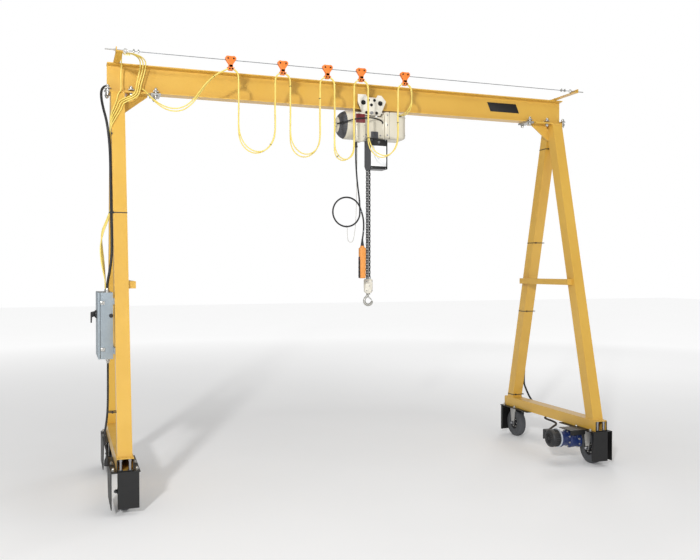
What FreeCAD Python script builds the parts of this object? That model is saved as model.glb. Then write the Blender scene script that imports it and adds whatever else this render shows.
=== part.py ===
import FreeCAD, Part
import math
import os
from FreeCAD import Vector

# A small travelling gantry crane: an I-beam on two A-frames, which stand on base beams with
# rubber wheels, an electric chain hoist under the beam, and a cable festoon on a wire beside it.
# Millimetres. X runs along the beam, Y across it, Z up. The floor is Z = 0 and the origin is
# under the middle of the crane. "Near" is the -Y side, where the festoon is.

os.makedirs("parts", exist_ok=True)

X_DIR, Y_DIR, Z_DIR = Vector(1, 0, 0), Vector(0, 1, 0), Vector(0, 0, 1)

# ---------------------------------------------------------------- driving dimensions
BEAM_HALF = 1937          # half the beam's length
BEAM_TOP = 3099
BEAM_DEPTH = 203
FLANGE_WIDTH = 102
FLANGE_EDGE = 8           # flange thickness at its edge
FLANGE_ROOT = 14          # and at the web
WEB = 7

LEG = 95                  # square leg tube
LEG_WALL = 5
LEG_X = 1865              # centre of both A-frames, measured from mid-beam
LEG_TOP_Y = 29            # centre line of a leg at the cap plate
LEG_FOOT_Y = 611          # and at the base beam

CAP_THICK = 12
CAP_INNER, CAP_OUTER = 1650, 1921
CAP_HALF_WIDTH = 70
GUSSET_THICK = 12
GUSSET_DEPTH = 140
GUSSET_CLIP = 28          # clipped inner corner, for the weld

CROSS_BAR = 50            # square bar across the A-frame
CROSS_BAR_TOP = 1520
CROSS_BAR_HALF = 372

BASE_HALF = 700           # half the base beam's length
BASE_WIDTH = 110
BASE_TOP = 371
BASE_DEPTH = 86
BASE_WALL = 6

WHEEL_Y = 575
WHEEL_R = 127
WHEEL_WIDTH = 64
HUB_R = 48
AXLE_R = 10
RUNNING_FIT = 0.08

GUARD_PLATE = 6
GUARD_HALF_WIDTH = 94
GUARD_END_Y = 718         # outer face of the guard's end plate
GUARD_BACK_Y = 253        # far edge of the guard's top plate
SIDE_PLATE_BACK_Y = 385   # and of the side plate at its foot
GUARD_BOTTOM = 45
END_PLATE_HALF = 68
END_PLATE_INSET = 18      # the end plate sits towards the middle of the crane
SHORT_SIDE_PLATE_Y = 590  # the right far guard has a shorter side plate

BEAM_BOTTOM = BEAM_TOP - BEAM_DEPTH
CAP_BOTTOM = BEAM_BOTTOM - CAP_THICK
BASE_BOTTOM = BASE_TOP - BASE_DEPTH
GUARD_TOP = BASE_BOTTOM - GUARD_PLATE
FORK_TOP = GUARD_TOP - 6

# Festoon: a taut wire beside the beam, and trolleys that spread out along it.
WIRE_Y = -335
WIRE_Z = 3116
WIRE_R = 2.5
EYE_BOLT_R = 4
ARM_THICK = 6
ARM_LEG = 46
ARM_X = {"left": -1894, "right": 1872}
TROLLEY_X = [-1095, -706, -358, -85, 281]
LOOP_LOW = [2462, 2462, 2440, 2484]   # lowest point of each hanging loop's near strand
SLACK = [10, 20, 8, 14]   # and how much lower its far strand hangs
CABLE_R = 4.5
STRAND_GAP = 12           # between the centre lines of the two strands
# Outline of the saddle under a trolley: its ends face the way the cable leaves.
SADDLE = [(-26.9, -53.6), (26.9, -53.6), (14.9, -74.4), (-14.9, -74.4)]
CLAMP_DROP = 64           # from the wire down to the cable in a trolley's saddle
ROLLER_X = 21             # a trolley's rollers stand this far each side of its middle
ROLLER_R = 8

# Hoist, hung under the beam: X places at rest.
HOIST_AXIS_Z = 2767
HOIST_X0, HOIST_X1 = -172, 398
MOTOR_CASE_R = 114
CASE_X0, CASE_X1 = 22, 205
CASE_BOTTOM, CASE_TOP = 2655, 2834
CHAIN_X = 104
CHAIN_GAP = 21            # between the two falls of chain
CHAIN_R = 9               # a fall's outside radius, links and all
HOOK_BLOCK_TOP, HOOK_BLOCK_BOTTOM = 1528, 1408


# ---------------------------------------------------------------- shape helpers
def box(x0, x1, y0, y1, z0, z1):
    low = Vector(min(x0, x1), min(y0, y1), min(z0, z1))
    return Part.makeBox(abs(x1 - x0), abs(y1 - y0), abs(z1 - z0), low)


def rod(start, direction, length, radius):
    return Part.makeCylinder(radius, length, Vector(*start), direction)


def plate(points, thickness_vector):
    """A flat plate from an outline of 3-D points, pushed along a vector."""
    corners = [Vector(*point) for point in points]
    face = Part.Face(Part.makePolygon(corners + corners[:1]))
    return face.extrude(thickness_vector)


def fillet_path(points, share=0.45):
    """Straight runs joined by tangent arcs: returns the wire, its length and its radii."""
    corners = [Vector(*point) for point in points]
    edges, radii, at = [], [], corners[0]
    for before, corner, after in zip(corners, corners[1:], corners[2:]):
        into = (corner - before).normalize()
        out = (after - corner).normalize()
        turn = math.acos(max(-1.0, min(1.0, into.dot(out))))
        run = min((corner - before).Length, (after - corner).Length)
        cut = share * run
        radius = cut / math.tan(turn / 2)
        start = corner - into * cut
        end = corner + out * cut
        inward = (out - into).normalize()
        centre = corner + inward * (radius / math.cos(turn / 2))
        middle = centre - inward * radius
        edges.append(Part.LineSegment(at, start).toShape())
        edges.append(Part.Arc(start, middle, end).toShape())
        radii.append(radius)
        at = end
    edges.append(Part.LineSegment(at, corners[-1]).toShape())
    return Part.Wire(edges), radii


def tube(points, radius, name=""):
    """A round tube along straight runs and tangent arcs."""
    path, radii = fillet_path(points)
    start = Vector(*points[0])
    heading = (Vector(*points[1]) - start).normalize()
    ring = Part.Wire(Part.makeCircle(radius, start, heading))
    solid = path.makePipeShell([ring], True, True)
    share = solid.Volume / (math.pi * radius ** 2 * path.Length)
    print(f"tube {name}: length {path.Length:.0f}, smallest radius {min(radii):.0f}, "
          f"volume share {share:.3f}")
    return solid


def save(name, *solids):
    shape = solids[0] if len(solids) == 1 else Part.makeCompound(list(solids))
    shape.exportStep(f"parts/{name}.step")


SIDES = {"left": -1, "right": 1}
DEPTHS = {"near": -1, "far": 1}


# ---------------------------------------------------------------- beam
def bridge_beam():
    half, web = FLANGE_WIDTH / 2, WEB / 2
    top, bottom = BEAM_TOP, BEAM_BOTTOM
    right_side = [(half, top), (half, top - FLANGE_EDGE), (web, top - FLANGE_ROOT),
                  (web, bottom + FLANGE_ROOT), (half, bottom + FLANGE_EDGE), (half, bottom)]
    left_side = [(-y, z) for y, z in reversed(right_side)]
    outline = [(-BEAM_HALF, y, z) for y, z in right_side + left_side]
    save("bridge_beam", plate(outline, X_DIR * (2 * BEAM_HALF)))


# ---------------------------------------------------------------- A-frames
LEG_HALF_IN_PLAN = LEG / 2 / math.cos(math.atan2(LEG_FOOT_Y - LEG_TOP_Y, CAP_BOTTOM - BASE_TOP))
LEG_SLOPE = (LEG_FOOT_Y - LEG_TOP_Y) / (CAP_BOTTOM - BASE_TOP)


def leg_y(z):
    """Centre line of a leg, as a distance from the A-frame's middle."""
    return LEG_TOP_Y + LEG_SLOPE * (CAP_BOTTOM - z)


def leg(side, depth):
    """One sloping leg, cut upright where it meets its partner at the top."""
    mitre_z = CAP_BOTTOM - (LEG_HALF_IN_PLAN - LEG_TOP_Y) / LEG_SLOPE
    outline = [(0, CAP_BOTTOM), (LEG_TOP_Y + LEG_HALF_IN_PLAN, CAP_BOTTOM),
               (LEG_FOOT_Y + LEG_HALF_IN_PLAN, BASE_TOP),
               (LEG_FOOT_Y - LEG_HALF_IN_PLAN, BASE_TOP), (0, mitre_z)]
    x0 = side * LEG_X - LEG / 2
    outer = plate([(x0, depth * y, z) for y, z in outline], X_DIR * LEG)
    hollow_top, hollow_bottom = mitre_z - 120, BASE_TOP + 40
    half = LEG_HALF_IN_PLAN - LEG_WALL
    hollow = [(leg_y(hollow_top) + half, hollow_top), (leg_y(hollow_bottom) + half, hollow_bottom),
              (leg_y(hollow_bottom) - half, hollow_bottom), (leg_y(hollow_top) - half, hollow_top)]
    inner = plate([(x0 + LEG_WALL, depth * y, z) for y, z in hollow], X_DIR * (LEG - 2 * LEG_WALL))
    return outer.cut(inner)


def a_frames():
    for side_name, side in SIDES.items():
        for depth_name, depth in DEPTHS.items():
            save(f"{side_name}_{depth_name}_leg", leg(side, depth))
    caps, gussets, bars = [], [], []
    for side in SIDES.values():
        caps.append(box(side * CAP_INNER, side * CAP_OUTER, -CAP_HALF_WIDTH, CAP_HALF_WIDTH,
                        CAP_BOTTOM, BEAM_BOTTOM))
        face = LEG_X - LEG / 2
        outline = [(face, CAP_BOTTOM - GUSSET_DEPTH), (face, CAP_BOTTOM - GUSSET_CLIP),
                   (face - GUSSET_CLIP, CAP_BOTTOM), (CAP_INNER, CAP_BOTTOM),
                   (CAP_INNER, CAP_BOTTOM - 10)]
        gussets.append(plate([(side * x, -GUSSET_THICK / 2, z) for x, z in outline],
                             Y_DIR * GUSSET_THICK))
        bars.append(box(side * face, side * (face - CROSS_BAR), -CROSS_BAR_HALF, CROSS_BAR_HALF,
                        CROSS_BAR_TOP - CROSS_BAR, CROSS_BAR_TOP))
    save("cap_plates", *caps)
    save("cap_gussets", *gussets)
    save("cross_bars", *bars)


def beam_clamps():
    """Bars under the lower flange, each side of a cap plate: they clamp it and stop the hoist."""
    bars = []
    for side in SIDES.values():
        for inner, outer in ((1560, 1630), (1923, 1945)):
            bar = box(side * inner, side * outer, -72, 72, CAP_BOTTOM - 2, BEAM_BOTTOM)
            for y in (-60, 60):
                middle = side * (inner + outer) / 2
                bar = bar.fuse(rod((middle, y, CAP_BOTTOM - 24), Z_DIR, 58, 8))
            bars.append(bar)
    save("beam_clamps", *bars)


def base_beams():
    for side_name, side in SIDES.items():
        x = side * LEG_X
        half = BASE_WIDTH / 2
        outer = box(x - half, x + half, -BASE_HALF, BASE_HALF, BASE_BOTTOM, BASE_TOP)
        inner = box(x - half + BASE_WALL, x + half - BASE_WALL, -BASE_HALF, BASE_HALF,
                    BASE_BOTTOM + BASE_WALL, BASE_TOP - BASE_WALL)
        save(f"{side_name}_base_beam", outer.cut(inner))


# ---------------------------------------------------------------- wheels
def wheel_guard(side, depth):
    """A top plate under the base beam, with an end plate and an outer side plate hung from it."""
    x = side * LEG_X
    outer_x = x + side * GUARD_HALF_WIDTH
    end, back = depth * GUARD_END_Y, depth * GUARD_BACK_Y
    top = box(x - GUARD_HALF_WIDTH, x + GUARD_HALF_WIDTH, end, back, GUARD_TOP, BASE_BOTTOM)
    plate_x = x - side * END_PLATE_INSET
    end_plate = box(plate_x - END_PLATE_HALF, plate_x + END_PLATE_HALF, end,
                    end - depth * GUARD_PLATE, GUARD_BOTTOM, GUARD_TOP)
    low_back, high_back = depth * SIDE_PLATE_BACK_Y, back
    if side > 0 and depth > 0:
        low_back = high_back = SHORT_SIDE_PLATE_Y
    outline = [(end, GUARD_BOTTOM), (low_back, GUARD_BOTTOM), (high_back, GUARD_TOP),
               (end, GUARD_TOP)]
    side_plate = plate([(outer_x, y, z) for y, z in outline], X_DIR * (-side * GUARD_PLATE))
    return top.fuse([end_plate, side_plate])


def wheel_fork(side, depth):
    """A rigid fork: a top plate, two narrow cheeks and the axle through them."""
    x, y = side * LEG_X, depth * WHEEL_Y
    fork = box(x - 50, x + 50, y - 55, y + 55, FORK_TOP, GUARD_TOP)
    for cheek in (-1, 1):
        inner = x + cheek * (WHEEL_WIDTH / 2 + 4)
        outline = [(y - 45, FORK_TOP), (y + 45, FORK_TOP), (y + 20, WHEEL_R - 16),
                   (y - 20, WHEEL_R - 16)]
        fork = fork.fuse(plate([(inner, py, z) for py, z in outline], X_DIR * (cheek * 6)))
    axle = rod((x - 48, y, WHEEL_R), X_DIR, 96, AXLE_R)
    return fork.fuse(axle)


def wheel(side, depth):
    x, y = side * LEG_X, depth * WHEEL_Y
    half = WHEEL_WIDTH / 2
    tyre = rod((x - half, y, WHEEL_R), X_DIR, WHEEL_WIDTH, WHEEL_R)
    tyre = tyre.makeFillet(10, [edge for edge in tyre.Edges if edge.Closed][:2])
    hub = rod((x - half - 3, y, WHEEL_R), X_DIR, WHEEL_WIDTH + 6, HUB_R)
    bore = rod((x - 60, y, WHEEL_R), X_DIR, 120, AXLE_R + RUNNING_FIT)
    return tyre.fuse(hub).cut(bore)


def running_gear():
    for side_name, side in SIDES.items():
        for depth_name, depth in DEPTHS.items():
            save(f"{side_name}_{depth_name}_wheel", wheel(side, depth))
        save(f"{side_name}_wheel_guards", *[wheel_guard(side, depth) for depth in (-1, 1)])
        save(f"{side_name}_wheel_forks", *[wheel_fork(side, depth) for depth in (-1, 1)])


# ---------------------------------------------------------------- travel drive
DRIVE_Y = -WHEEL_Y + 35
MOTOR_Z = 225
MOTOR_R = 72
MOTOR_X0 = 1470
GEARBOX_X0, GEARBOX_X1 = 1548, 1768


def travel_drive():
    """A gearmotor beside the right near wheel, bolted up under the guard's top plate."""
    x0 = GEARBOX_X0
    flange = rod((x0, DRIVE_Y, MOTOR_Z), X_DIR, 12, MOTOR_R + 5)
    front = rod((x0 + 12, DRIVE_Y, MOTOR_Z - 10), X_DIR, 108, 68)
    rear = rod((x0 + 100, DRIVE_Y - 6, MOTOR_Z - 32), X_DIR, 120, 58)
    foot = box(x0 + 120, GEARBOX_X1 - 6, DRIVE_Y - 48, DRIVE_Y + 52, MOTOR_Z - 30, GUARD_TOP)
    save("drive_gearbox", front.fuse([rear, foot]))
    save("drive_flange", flange)
    motor = rod((MOTOR_X0, DRIVE_Y, MOTOR_Z), X_DIR, x0 - MOTOR_X0, MOTOR_R)
    end = [edge for edge in motor.Edges if edge.Closed and edge.CenterOfMass.x < MOTOR_X0 + 1]
    motor = motor.makeFillet(20, end)
    terminal_box = box(1484, 1546, DRIVE_Y + 40, DRIVE_Y + MOTOR_R + 30, 200, 282)
    save("drive_motor", motor.fuse(terminal_box))


# ---------------------------------------------------------------- festoon
def festoon_arms():
    """Angle arms on the top flange that reach towards the near side and hold the wire."""
    arms, bolts = [], []
    for side_name, side in SIDES.items():
        x = ARM_X[side_name]
        end_y = WIRE_Y - 35
        flat = box(x - side * ARM_LEG, x, end_y, 51, BEAM_TOP, BEAM_TOP + ARM_THICK)
        upright = box(x, x - side * ARM_THICK, end_y, end_y + 90, BEAM_TOP, WIRE_Z + 14)
        hole = rod((x - 60, WIRE_Y, WIRE_Z), X_DIR, 120, EYE_BOLT_R)
        arms.append(flat.fuse(upright).cut(hole))
        length = 128 if side < 0 else 120
        shank = rod((x + side * 72, WIRE_Y, WIRE_Z), X_DIR * -side, length, EYE_BOLT_R)
        eye_x = x + side * (72 - length)
        ring = Part.makeTorus(11, EYE_BOLT_R, Vector(eye_x - side * 10, WIRE_Y, WIRE_Z), Y_DIR)
        nut = rod((x + side * 1, WIRE_Y, WIRE_Z), X_DIR * side, 12, 7)
        bolts.append(shank.fuse([ring, nut]))
    save("festoon_arms", *arms)
    save("wire_eye_bolts", *bolts)
    wire_start = ARM_X["left"] + 56 + 30
    wire_end = ARM_X["right"] - 48 - 30
    save("messenger_wire", rod((wire_start, WIRE_Y, WIRE_Z), X_DIR, wire_end - wire_start, WIRE_R))


def arc_corner(centre, radius, start_deg, end_deg, steps=3):
    """Points on a rounded corner of a flat outline."""
    points = []
    for step in range(steps + 1):
        angle = math.radians(start_deg + (end_deg - start_deg) * step / steps)
        points.append((centre[0] + radius * math.cos(angle), centre[1] + radius * math.sin(angle)))
    return points


def festoon_trolley(x):
    """Two cheeks round a pair of small rollers on the wire, and a saddle for the cable below."""
    roller_z = WIRE_R + ROLLER_R
    lobe = 19
    outline = arc_corner((ROLLER_X, roller_z), lobe, -40, 120)
    outline += arc_corner((-ROLLER_X, roller_z), lobe, 60, 220)
    outline += [(-15, -34), (-15, -60), (15, -60), (15, -34)]
    parts = []
    for y in (-13, 7):
        parts.append(plate([(x + px, WIRE_Y + y, WIRE_Z + pz) for px, pz in outline], Y_DIR * 6))
    core = box(x - 14, x + 14, WIRE_Y - 13, WIRE_Y + 13, WIRE_Z - 52, WIRE_Z - 34)
    saddle = plate([(x + px, WIRE_Y - 15, WIRE_Z + pz) for px, pz in SADDLE], Y_DIR * 30)
    body = core.fuse(parts + [saddle])
    for px in (-ROLLER_X, ROLLER_X):
        body = body.fuse(rod((x + px, WIRE_Y - 13, WIRE_Z + roller_z), Y_DIR, 26, ROLLER_R))
    return body


def strand_route(x0, x1, low, sway, side):
    """One strand between two trolleys: down, round the bowl and up, as unevenly as it hangs."""
    z = WIRE_Z - CLAMP_DROP
    drop = z - low
    half = (x1 - x0) / 2
    reach = half - 58
    straight = drop - 1.25 * reach - 142
    leaving = [(21, 0), (37, 9.24), (49.5, 24), (56, 42), (58, 78), (57, 142),
               (59.5, 142 + 0.42 * straight), (57.5, 142 + 0.78 * straight)]
    bowl = [(-1, 1.25), (-0.93, 0.78), (-0.71, 0.36), (-0.37, 0.09), (0, 0),
            (0.37, 0.09), (0.71, 0.36), (0.93, 0.78), (1, 1.25)]
    y = WIRE_Y + side * STRAND_GAP / 2
    down = [(x0 + across, y, z - below) for across, below in leaving]
    up = [(x1 - across, y, z - below) for across, below in leaving]
    round_x = (x0 + x1) / 2
    low_stretch = [(round_x + across * reach + sway * (1.25 - above), y, low + above * reach)
                   for across, above in bowl]
    return down + low_stretch + up[::-1]


def festoon_loops():
    """Two strands between the trolleys, hung in loops of unequal width."""
    for index, (x0, x1) in enumerate(zip(TROLLEY_X, TROLLEY_X[1:])):
        strands = []
        for side, slack, sway in ((-1, 0, 4), (1, SLACK[index], -9)):
            route = strand_route(x0, x1, LOOP_LOW[index] - slack, sway, side)
            strands.append(tube(route, CABLE_R, f"loop {index + 1}"))
        save(f"festoon_loop_{index + 1}", *strands)


def pair_of_strands(points, name):
    """Two strands side by side: along X at the first point, across the wire at the last."""
    strands = []
    last = len(points) - 1
    for side in (-1, 1):
        route = []
        for step, (x, y, z) in enumerate(points):
            share = min(1, max(0, (step - 1) / (last - 3)))
            spread = side * STRAND_GAP / 2
            bulge = side * 9 * math.sin(math.pi * share)
            route.append((x + spread * (1 - share), y + spread * share, z - bulge))
        strands.append(tube(route, CABLE_R, name))
    save(name, *strands)


def first_loop():
    """The first length, from the beam's lower flange to the first trolley."""
    z = WIRE_Z - CLAMP_DROP
    x = TROLLEY_X[0]
    points = [(-1702, -WEB / 2, 2926), (-1702, -32, 2926), (-1690, -64, 2920),
              (-1670, -104, 2893), (-1648, -152, 2853), (-1616, -210, 2806), (-1576, -264, 2764),
              (-1524, -306, 2736), (-1470, -330, 2732), (-1418, -338, 2752),
              (-1368, -335, 2796), (-1324, -336, 2856), (-1282, -334, 2920),
              (-1236, -336, 2972), (-1190, -334, 3012), (x - 53, WIRE_Y, z - 18.48),
              (x - 21, WIRE_Y, z)]
    pair_of_strands(points, "festoon_loop_0")


def tail_cable():
    """From the leading trolley down to two glands on the hoist's front."""
    z = WIRE_Z - CLAMP_DROP
    x = TROLLEY_X[-1]
    points = [(336, -98, 2850), (336, -134, 2850), (336, -176, 2844), (338, -224, 2846),
              (342, -268, 2860), (346, -304, 2886), (346, -326, 2926), (342, -334, 2968),
              (x + 56, WIRE_Y + 1, z - 42), (x + 49.5, WIRE_Y, z - 24), (x + 37, WIRE_Y, z - 9.24),
              (x + 21, WIRE_Y, z)]
    pair_of_strands(points, "festoon_tail")


def near_face(x, z, gap):
    """A point off the near face of the left near leg."""
    return (x, -leg_y(z) - LEG_HALF_IN_PLAN - gap, z)


def outer_face(z, lane, gap, side=-1, depth=-1):
    """A point off the outboard face of a leg, at a distance along the face from its middle."""
    return (side * (LEG_X + LEG / 2 + gap), depth * leg_y(z) + lane, z)


def control_cables():
    """Four cables, whole from the wire's end eye, over the beam and down the leg to the box."""
    strands = []
    tops = (-1841, -1708, -1689, -1670)
    lows = (-1843, -1742, -1727, -1712)
    radius = CABLE_R
    for number, (top_x, low_x) in enumerate(zip(tops, lows)):
        turn = 3 - number
        lane = 14 * turn - 21
        low_y = -93 - 2 * number
        points = [(-1836 + 12 * number, -322, 3090), (-1836 + 12 * number, -298, 3108),
                  (-1846 + (top_x + 1846) * 0.35, -236, 3128),
                  (-1846 + (top_x + 1846) * 0.75, -160, 3134), (top_x, -100, 3118),
                  (top_x + 2, -70, 3076), (top_x * 0.7 + low_x * 0.3, -62, 3012),
                  (top_x * 0.25 + low_x * 0.75, -64, 2950), (low_x, low_y, 2894),
                  (low_x - 20, low_y - 3, 2870 - 8 * number),
                  near_face(-1872 + 14 * number, 2828 - 8 * number, 7),
                  near_face(-1886 + 15 * number, 2784 - 10 * number, 7),
                  near_face(-1922.5, 2696 - 26 * number, 14)]
        points += [outer_face(2566, lane, 8), outer_face(2430, lane, 8), outer_face(2300, lane, 7),
                   outer_face(2170, lane, 9), outer_face(2040, lane, 8),
                   outer_face(1950, lane + 6, 30 + 3 * turn),
                   outer_face(1862, lane + 16, 66 + 4 * turn),
                   outer_face(1764, lane + 20, 88 - 5 * turn),
                   outer_face(1672, lane + 20, 84 - 7 * turn),
                   (-1982 + 4 * turn, -316 + 14 * turn, 1590), (-1966, -312 + 14 * turn, 1520),
                   (-1966, -312 + 14 * turn, 1444)]
        strands.append(tube(points, radius, f"control cable {number}"))
    save("control_cables", *strands)


def drive_cable():
    """Black cable from the box, up the leg, along the beam and down to the travel motor."""
    web_y = WEB / 2 + 13
    foot_z = BASE_TOP - 40
    points = [(-1958, -352, 1444), (-1958, -352, 1500), (-1942, -360, 1580),
              outer_face(1690, -41, 13), outer_face(1830, -39, 11), outer_face(1980, -41, 12),
              outer_face(2130, -39, 11), outer_face(2280, -41, 12), outer_face(2420, -39, 12),
              outer_face(2540, -41, 18), (-1946, -146, 2660), (-1968, -120, 2750),
              (-1980, -76, 2836), (-1976, -24, 2900), (-1952, web_y + 3, 2938),
              (-1895, web_y, 2952),
              (1895, web_y, 2952), (1946, web_y + 2, 2936), (1958, 30, 2886), (1934, 50, 2800),
              outer_face(2700, 10, 12, 1, 1), outer_face(2500, 10, 10, 1, 1),
              outer_face(560, 10, 10, 1, 1), (1938, 500, 420), (1940, 420, foot_z + 18),
              (1936, 320, foot_z), (1938, 238, foot_z - 6), (1941, 194, foot_z - 34),
              (1932, 168, 262), (1896, 136, 252), (1850, 80, 254), (1836, -90, 256),
              (1792, -196, 256),
              (1700, -260, 250), (1610, -330, 238), (1552, -390, 226), (1540, -430, 222),
              (1540, DRIVE_Y + MOTOR_R + 30, 222)]
    save("drive_cable", tube(points, 9, "drive cable"))


def festoon():
    festoon_arms()
    for index, x in enumerate(TROLLEY_X):
        save(f"festoon_trolley_{index + 1}", festoon_trolley(x))
    first_loop()
    festoon_loops()
    tail_cable()


# ---------------------------------------------------------------- hoist
TROLLEY_WHEEL_R = 38
TROLLEY_WHEEL_Z = BEAM_BOTTOM + 12 + TROLLEY_WHEEL_R
TROLLEY_AXLES = (34, 180)
PLATE_Y = 62              # inner face of a trolley side plate
CONTROL_Y0 = -172
SHANK_R = 11
HOOK_R = 35               # radius of the hook's bowl, to the middle of its bar


def hoist_trolley():
    """Two side plates that hang from wheels on the lower flange, joined by a bar below it."""
    outline = [(-10, 3013), (188, 3013), (232, 2966), (228, 2952), (182, 2842), (30, 2842),
               (-10, 2975)]
    plates = []
    for depth in (-1, 1):
        side = plate([(x, depth * PLATE_Y, z) for x, z in outline], Y_DIR * (depth * 8))
        plates.append(side)
    bar = rod((CHAIN_X, -PLATE_Y - 18, 2866), Y_DIR, 2 * PLATE_Y + 36, 13)
    lug = box(CHAIN_X - 26, CHAIN_X + 26, -22, 22, CASE_TOP, 2884)
    body = plates[0].fuse([plates[1], bar, lug])
    wheel_z = TROLLEY_WHEEL_Z
    for x in TROLLEY_AXLES:
        for depth in (-1, 1):
            body = body.fuse(rod((x, depth * (PLATE_Y + 10), wheel_z), Y_DIR * -depth, 40, 8))
    save("hoist_trolley", body)
    for name, x in zip(("left", "right"), TROLLEY_AXLES):
        pair = []
        for depth in (-1, 1):
            roller = rod((x, depth * 54, wheel_z), Y_DIR * -depth, 26, TROLLEY_WHEEL_R)
            bore = rod((x, depth * 60, wheel_z), Y_DIR * -depth, 60, 8 + RUNNING_FIT)
            pair.append(roller.cut(bore))
        save(f"hoist_trolley_wheels_{name}", *pair)


def hoist_body():
    motor = rod((HOIST_X0, 0, HOIST_AXIS_Z), X_DIR, CASE_X0 - HOIST_X0, MOTOR_CASE_R)
    end = [edge for edge in motor.Edges if edge.Closed and edge.CenterOfMass.x < HOIST_X0 + 1]
    save("hoist_motor", motor.makeFillet(66, end))
    case = box(CASE_X0, CASE_X1, -100, 100, CASE_BOTTOM, CASE_TOP)
    along = [edge for edge in case.Edges if abs(edge.BoundBox.XLength - (CASE_X1 - CASE_X0)) < 0.01]
    save("hoist_gear_case", case.makeFillet(20, along))
    cover = box(CASE_X1, HOIST_X1, -98, 98, 2660, 2882)
    rounded = [edge for edge in cover.Edges if edge.BoundBox.XMax > CASE_X1 + 1]
    save("hoist_end_cover", cover.makeFillet(22, rounded))
    control = box(-66, 14, CONTROL_Y0, -MOTOR_CASE_R + 12, 2612, 2846)
    control = control.cut(rod((HOIST_X0, 0, HOIST_AXIS_Z), X_DIR, CASE_X0 - HOIST_X0, MOTOR_CASE_R))
    control = control.cut(box(CASE_X0, CASE_X1, -100, 100, CASE_BOTTOM - 1, CASE_TOP + 30))
    save("hoist_control_box", control)


def chain_container():
    """An open box in front of the chain, hung from the gear case by a tongue."""
    x0, x1, y0, y1, z0, z1 = 58, 202, -164, -32, 2403, 2640
    outline = [(y0, z0), (y1 - 26, z0), (y1, z0 + 30), (y1, z1), (y0, z1)]
    shell = plate([(x0, y, z) for y, z in outline], X_DIR * (x1 - x0))
    wall = 5
    inner = [(y0 + wall, z0 + wall), (y1 - 28, z0 + wall), (y1 - wall, z0 + 33), (y1 - wall, z1 + 5),
             (y0 + wall, z1 + 5)]
    shell = shell.cut(plate([(x0 + wall, y, z) for y, z in inner], X_DIR * (x1 - x0 - 2 * wall)))
    tongue = box(x0 + 40, x1 - 40, y1 - wall, y1, z1 - 20, CASE_BOTTOM)
    save("chain_container", shell.fuse(tongue))


def hook_and_chain():
    """Two falls of chain down to a block, and a hook that swivels under it."""
    z0 = HOOK_BLOCK_TOP
    falls = [rod((CHAIN_X + dx, 0, z0), Z_DIR, CASE_BOTTOM - z0, CHAIN_R)
             for dx in (-CHAIN_GAP / 2, CHAIN_GAP / 2)]
    save("load_chain", *falls)
    block = box(CHAIN_X - 34, CHAIN_X + 34, -26, 26, HOOK_BLOCK_BOTTOM, HOOK_BLOCK_TOP)
    upright = [edge for edge in block.Edges if edge.BoundBox.ZLength > 50]
    block = block.makeFillet(12, upright)
    top = [edge for edge in block.Edges if edge.BoundBox.ZMin > HOOK_BLOCK_TOP - 1]
    block = block.makeFillet(9, top)
    socket_depth = 24
    socket = rod((CHAIN_X, 0, HOOK_BLOCK_BOTTOM), Z_DIR, socket_depth, SHANK_R + RUNNING_FIT)
    save("hook_block", block.cut(socket))
    centre_z = HOOK_BLOCK_BOTTOM - 62
    bowl = [(CHAIN_X + HOOK_R * math.cos(math.radians(a)), 0,
             centre_z + HOOK_R * math.sin(math.radians(a))) for a in range(112, 391, 31)]
    points = [(CHAIN_X, 0, HOOK_BLOCK_BOTTOM + socket_depth - 1), (CHAIN_X, 0, HOOK_BLOCK_BOTTOM - 8),
              (CHAIN_X - 10, 0, HOOK_BLOCK_BOTTOM - 22)] + bowl
    save("load_hook", tube(points, SHANK_R, "hook"))


# ---------------------------------------------------------------- pendant
def pendant_route():
    """Down from the hoist, once round a loose ring that is tied up, and on to the pendant."""
    route = [(-52, -132, 2612), (-52, -132, 2570), (-53, -132, 2516), (-52, -131, 2450),
             (-48, -132, 2380), (-41, -131, 2300), (-32, -132, 2226), (-22, -131, 2160)]
    centre_x, centre_z, radius = -134, 2056, 119
    turns = 12
    for step in range(turns + 1):
        angle = math.radians(14 - 360 * step / turns)
        route.append((centre_x + radius * math.cos(angle), -132 - 18 * step / turns,
                      centre_z + radius * math.sin(angle)))
    route += [(4, -150, 2010), (8, -150, 1950), (6, -145, 1890), (0, -138, 1840), (0, -138, 1790)]
    return route


def pendant():
    body = box(-27, 27, -160, -114, 1530, 1790)
    upright = [edge for edge in body.Edges if edge.BoundBox.ZLength > 50]
    body = body.makeFillet(12, upright)
    rims = [edge for edge in body.Edges if edge.BoundBox.ZMin > 1789]
    save("pendant", body.makeFillet(10, rims))
    save("pendant_cable", tube(pendant_route(), 6.5, "pendant cable"))
    rope = [(-34, -112, 2612), (-34, -112, 2560), (-36, -114, 2470), (-39, -116, 2350),
            (-42, -117, 2215), (-43, -116, 2100), (-46, -114, 2010), (-51, -112, 1930),
            (-58, -112, 1885), (-64, -112, 1850), (-70, -113, 1830), (-83, -113, 1818),
            (-98, -114, 1818), (-111, -113, 1830), (-116, -114, 1850), (-120, -114, 1888),
            (-119, -114, 1940)]
    save("strain_rope", tube(rope, 2, "strain rope"))


# ---------------------------------------------------------------- control enclosure
ENCLOSURE = (-2004, -1922, -402, -20, 990, 1444)
DOOR_THICK = 16
HANDLE_Y, HANDLE_Z = -215, 1290
HINGE_X = ENCLOSURE[0] - 1 - DOOR_THICK / 2
HINGE_Y = ENCLOSURE[3] + 9
HINGE_Z = (1090, 1344)
KNUCKLE_R = 6
PIN_R = 3


def knuckle(z, length, leaf):
    """One knuckle of a door hinge, with the leaf that joins it to its own side."""
    return rod((HINGE_X, HINGE_Y, z), Z_DIR, length, KNUCKLE_R).fuse(leaf)


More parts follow.
